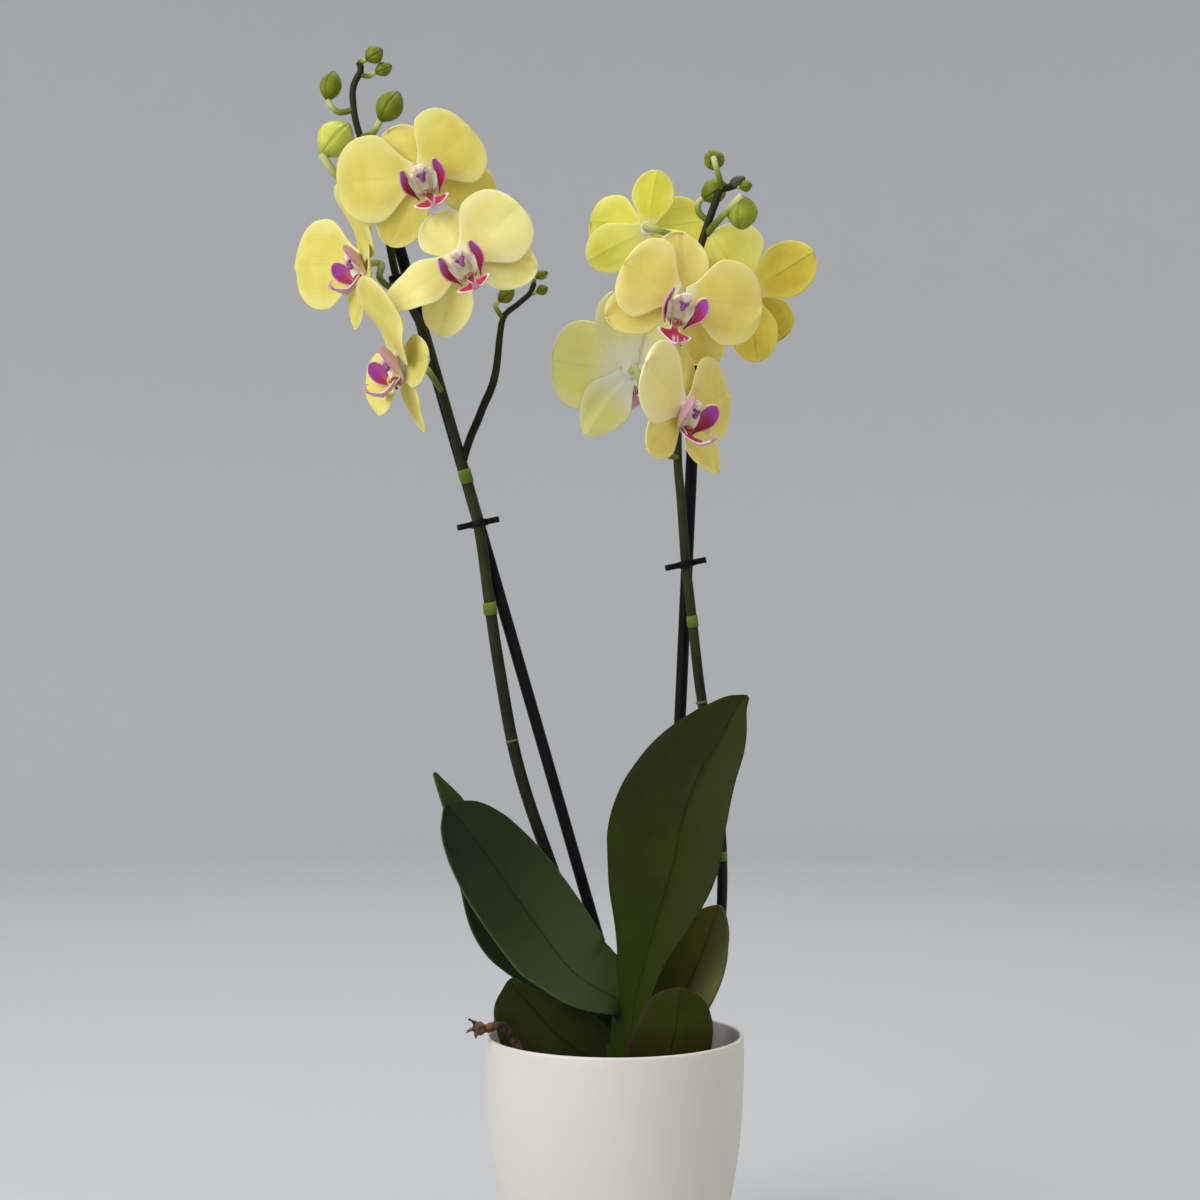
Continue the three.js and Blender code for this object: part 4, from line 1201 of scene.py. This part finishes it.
# Each stalk runs from the stem, by way of these points, to the back of its bloom.
LEFT_STALKS = {
    "left_1": [(-121, -25, 558), (-112, -32, 563)],
    "left_2": [(-107, -21.5, 504), (-98, -32, 505), (-88, -42, 509)],
    "left_3": [(-106, -21, 505), (-113.6, -22, 510), (-121, -18, 517)],
    "left_4": [(-89.5, -13.5, 459), (-92, -24, 463), (-95, -36, 467.5)],
}
RIGHT_STALKS = {
    "right_1": [(38, -4.5, 500)],
    "right_2": [(33, -5, 425), (26, -18, 428)],
    "right_3": [(43, -3, 530), (34, 2, 540)],
    "right_4": [(33, -5, 441), (24, -2, 445), (16.5, 3, 456)],
    "right_5": [(40, -4, 515), (48, 4, 520)],
}
GREEN, RIPE, BRACT, SWELLING = range(4)
# Each bud: the course of its stalk, its tip, its width and its finish.
LEFT_BUDS = [
    ([(-131, -25, 626), (-128.5, -26, 627), (-127.5, -26, 627.5)], (-119, -25, 633), 9.5, GREEN),
    (
        [(-130.5, -25, 620), (-126, -24, 619.5), (-123, -23, 621.5)],
        (-114.5, -22, 625.5), 7.5, GREEN,
    ),
    ([(-134, -25, 602), (-142, -25, 601), (-147.3, -25, 607)], (-144, -24, 622), 11.5, GREEN),
    ([(-130, -25, 588), (-124, -26, 590), (-120, -27, 596)], (-110.5, -26, 611), 14, GREEN),
    ([(-122, -25, 567), (-140, -26, 567), (-150, -27, 579)], (-136, -24, 595), 19, RIPE),
    ([(-57.5, -17, 496), (-61.5, -19, 502), (-60, -19, 505)], (-52, -18, 511), 8, GREEN),
    ([(-44, -18, 509), (-42, -18, 509), (-40.5, -18, 509.5)], (-34.5, -18, 512), 5.6, GREEN),
    ([(-41.7, -18, 514), (-41.5, -18, 516), (-41, -18, 517)], (-34.5, -18, 520), 5, GREEN),
]
RIGHT_BUDS = [
    (
        [(55.5, -2, 565.5), (54.5, -7, 570), (52.3, -9.5, 576), (51.3, -7, 581)],
        (52.3, 2.5, 580.5), 11, GREEN,
    ),
    ([(48.5, -1, 549), (44, 2, 554), (43.8, 4, 559), (46, 5, 561.5)], (58.5, 6, 570), 13, GREEN),
    (
        [(47.9, -1.5, 542), (54.5, -9, 549), (61.5, -13, 556), (65.5, -13, 560)],
        (66.5, -3, 544.5), 16.5, SWELLING,
    ),
    ([(63.5, -2, 567), (64.5, -3, 566.5), (65, -4, 566)], (71.5, -4, 567.5), 6.4, GREEN),
    ([(58, -2, 566), (59, -2, 566.3), (59.5, -2.5, 566.8)], (68, -3, 571.5), 6, BRACT),
]
STALK_RADIUS = 1.5
STEM, STALK, FRESH, DRY = range(4)
# Each sheath: its foot and its tip on the stem, its radius and its finish.
LEFT_SHEATHS = [
    ((-64.3, -3.8, 343.5), (-65.2, -4, 350), 3.3, FRESH),
    ((-76.2, -8.6, 412), (-78.2, -9.4, 419), 3.2, FRESH),
    ((-53.3, -1, 277), (-53.6, -1, 278.3), 3.2, DRY),
]
RIGHT_SHEATHS = [
    ((56.3, 6.3, 214.5), (56.2, 5.7, 219.5), 2.9, FRESH),
    ((41.1, -0.4, 337), (40.4, -0.7, 343), 2.8, FRESH),
    ((45.7, 1, 297), (45.5, 1, 298.3), 2.9, DRY),
]


def stem_finish(name, dark, light, start, end):
    finish = Finish(name, dark)
    along = finish.axes()[1]
    streaks = finish.streaks(22, 60, 4, 0.55)
    clouds = finish.speckle(30)
    finish.over(clouds.rise(0.3, 0.75), light)
    finish.over(streaks.rise(0.5, 0.8) * 0.3, light)
    finish.over(along.rise(0.6, 0.2) * 0.8, start)
    finish.over(along.rise(0.45, 0.95), end)
    return finish.surface(0.42 + streaks * 0.1, streaks, 0.0003, Specular_IOR_Level=0.15)


def bud_finish(name, dark, light, shade):
    """Bud skin: a darker foot and tip, and three faint seams."""
    finish = Finish(name, dark)
    around, along = finish.axes()
    seam = abs(finish.node("Math", {"operation": "FRACT"}, {0: around * 3}) - 0.5) * 2
    clouds = finish.speckle(130)
    veins = finish.streaks(26, 1.5, roughness=0.55)
    finish.over(clouds.rise(0.3, 0.7), light)
    finish.over(veins.rise(0.45, 0.75) * 0.4, shade)
    finish.over(along.rise(0.3, 0.0) * 0.8, shade)
    finish.over(along.rise(0.75, 1) * 0.8, shade)
    finish.over(seam.rise(0.12, 0.0) * 0.4, shade)
    relief = veins - seam.rise(0.2, 0.0)
    return finish.surface(
        0.45, relief, 0.0004,
        Specular_IOR_Level=0.2, Subsurface_Weight=0.1, Subsurface_Scale=0.003,
    )


STEM_FINISHES = [
    stem_finish("olive_brown_stem", "1f200c", "383a1b", "11130a", "2a2c15"),
    stem_finish("green_stalk", "6f7d26", "93a03e", "5c6a20", "cdd08a"),
    stem_finish("fresh_sheath", "5a6a1e", "728030", "5a6a1e", "728030"),
    stem_finish("dry_sheath", "54543c", "74725a", "54543c", "74725a"),
]
BUD_FINISHES = [
    bud_finish("bud_skin", "6a7710", "828c1e", "505c0a"),
    bud_finish("ripe_bud_skin", "c4ca50", "d6da6a", "a6b040"),
    bud_finish("dark_bract", "4a4b38", "60604a", "34352a"),
    bud_finish("swelling_bud_skin", "8a9628", "a0aa38", "6c7a1c"),
]


def spike(name, node, stems, stalks, buds, sheaths):
    bm = bmesh.new()
    for points, thick, thin in stems:
        bar(
            bm, points,
            lambda t, a, thick=thick, thin=thin: lerp(thick, thin, smoothstep((t - 0.3) / 0.7))
            * (1 + 0.04 * sin(40 * t + a)),
            14, 2.5, STEM,
        )
    for bloom_name, points in stalks.items():
        back = stand(BLOOMS[bloom_name])
        ends = [back @ Vector((0, 0, -HUB_BACK - 6)), back @ Vector((0, 0, -HUB_BACK + 1.5))]
        bar(bm, [*points, *ends], lambda t, a: STALK_RADIUS * lerp(1, 1.35, t), 12, 1.5, STALK)
    for stalk, _, width, _ in buds:
        bar(bm, stalk, lambda t, a, width=width: 0.7 + 0.075 * width, 10, 1, STALK)
    for low, high, radius, finish in sheaths:

        def scale_at(t, a, radius=radius):
            """A scale hugs the stem, and stands off it on one side, more towards its tip."""
            stand_off = 0.22 * sin(pi * (0.15 + 0.75 * t)) * (0.6 + 0.4 * cos(a - 2.4))
            return radius * (0.96 + stand_off)

        bar(bm, [low, high], scale_at, 18, 0.6, finish)
    piece(name + "_stem", bm, STEM_FINISHES, node)

    bm = bmesh.new()
    for stalk, tip, width, finish in buds:
        base = Vector(stalk[-1])
        top = Vector(tip)

        def swell(t, a, width=width):
            seams = 1 - 0.05 * (0.5 + 0.5 * cos(3 * a)) ** 6
            return width / 2 * max(0.04, sin(pi * (0.02 + 0.96 * t))) ** 0.72 * seams

        bar(bm, [base, base.lerp(top, 0.5), top], swell, 24, (top - base).length / 16, finish)
    piece(name + "_buds", bm, BUD_FINISHES, node)


LEFT_STEMS = [(LEFT_STEM, 3.2, 1.7), (BRANCH, 2.1, 1.4)]
RIGHT_STEMS = [(RIGHT_STEM, 2.75, 2)]
spike("left_spike", "spike_left", LEFT_STEMS, LEFT_STALKS, LEFT_BUDS, LEFT_SHEATHS)
spike("right_spike", "spike_right", RIGHT_STEMS, RIGHT_STALKS, RIGHT_BUDS, RIGHT_SHEATHS)

# ---- studio ----
# A plain pale floor that sweeps up into a plain wall all round, soft lights above and in front,
# and a level camera a little over a metre away, at half the plant's height.

COVE_RADIUS = 3000
COVE_ROUND = 900
COVE_HEIGHT = 3200


def cove():
    bm = bmesh.new()
    profile = [(0, 0), (COVE_RADIUS - COVE_ROUND, 0)]
    profile += arc((COVE_RADIUS - COVE_ROUND, COVE_ROUND), COVE_ROUND, -84, 0, 14)
    profile += [(COVE_RADIUS, COVE_HEIGHT)]
    spun(bm, profile, 96)
    solid("floor", bm, [Finish("plain_floor", "c0c1c2").surface(0.9)])


def light(name, place, target, size, power, colour=(1, 1, 1)):
    lamp = bpy.data.lights.new(name, "AREA")
    lamp.size = size
    lamp.energy = power
    lamp.color = colour
    made = bpy.data.objects.new(name, lamp)
    made.location = place
    made.rotation_euler = (Vector(target) - Vector(place)).to_track_quat("-Z", "Y").to_euler()
    bpy.context.scene.collection.objects.link(made)


cove()
light("window", (-1.7, -1.6, 1.5), (0, 0, 0.35), 1.8, 45)
light("fill", (1.7, -1.7, 1.1), (0, 0, 0.4), 1.8, 6, (1, 0.85, 0.62))
light("sky", (0.1, 0.5, 2.4), (0, 0, 0.3), 2.2, 27)

world = bpy.data.worlds.new("room")
world.use_nodes = True
world.node_tree.nodes["Background"].inputs["Color"].default_value = (0.92, 0.94, 1, 1)
world.node_tree.nodes["Background"].inputs["Strength"].default_value = 0.64
bpy.context.scene.world = world
bpy.context.scene.view_settings.view_transform = "Standard"

lens = bpy.data.cameras.new("camera")
lens.sensor_width = 36
lens.lens = 70.63
lens.clip_end = 20
camera = bpy.data.objects.new("camera", lens)
camera.location = (-0.0077, -1.23, 0.3512)
camera.rotation_euler = (radians(90), 0, 0)
bpy.context.scene.collection.objects.link(camera)
bpy.context.scene.camera = camera
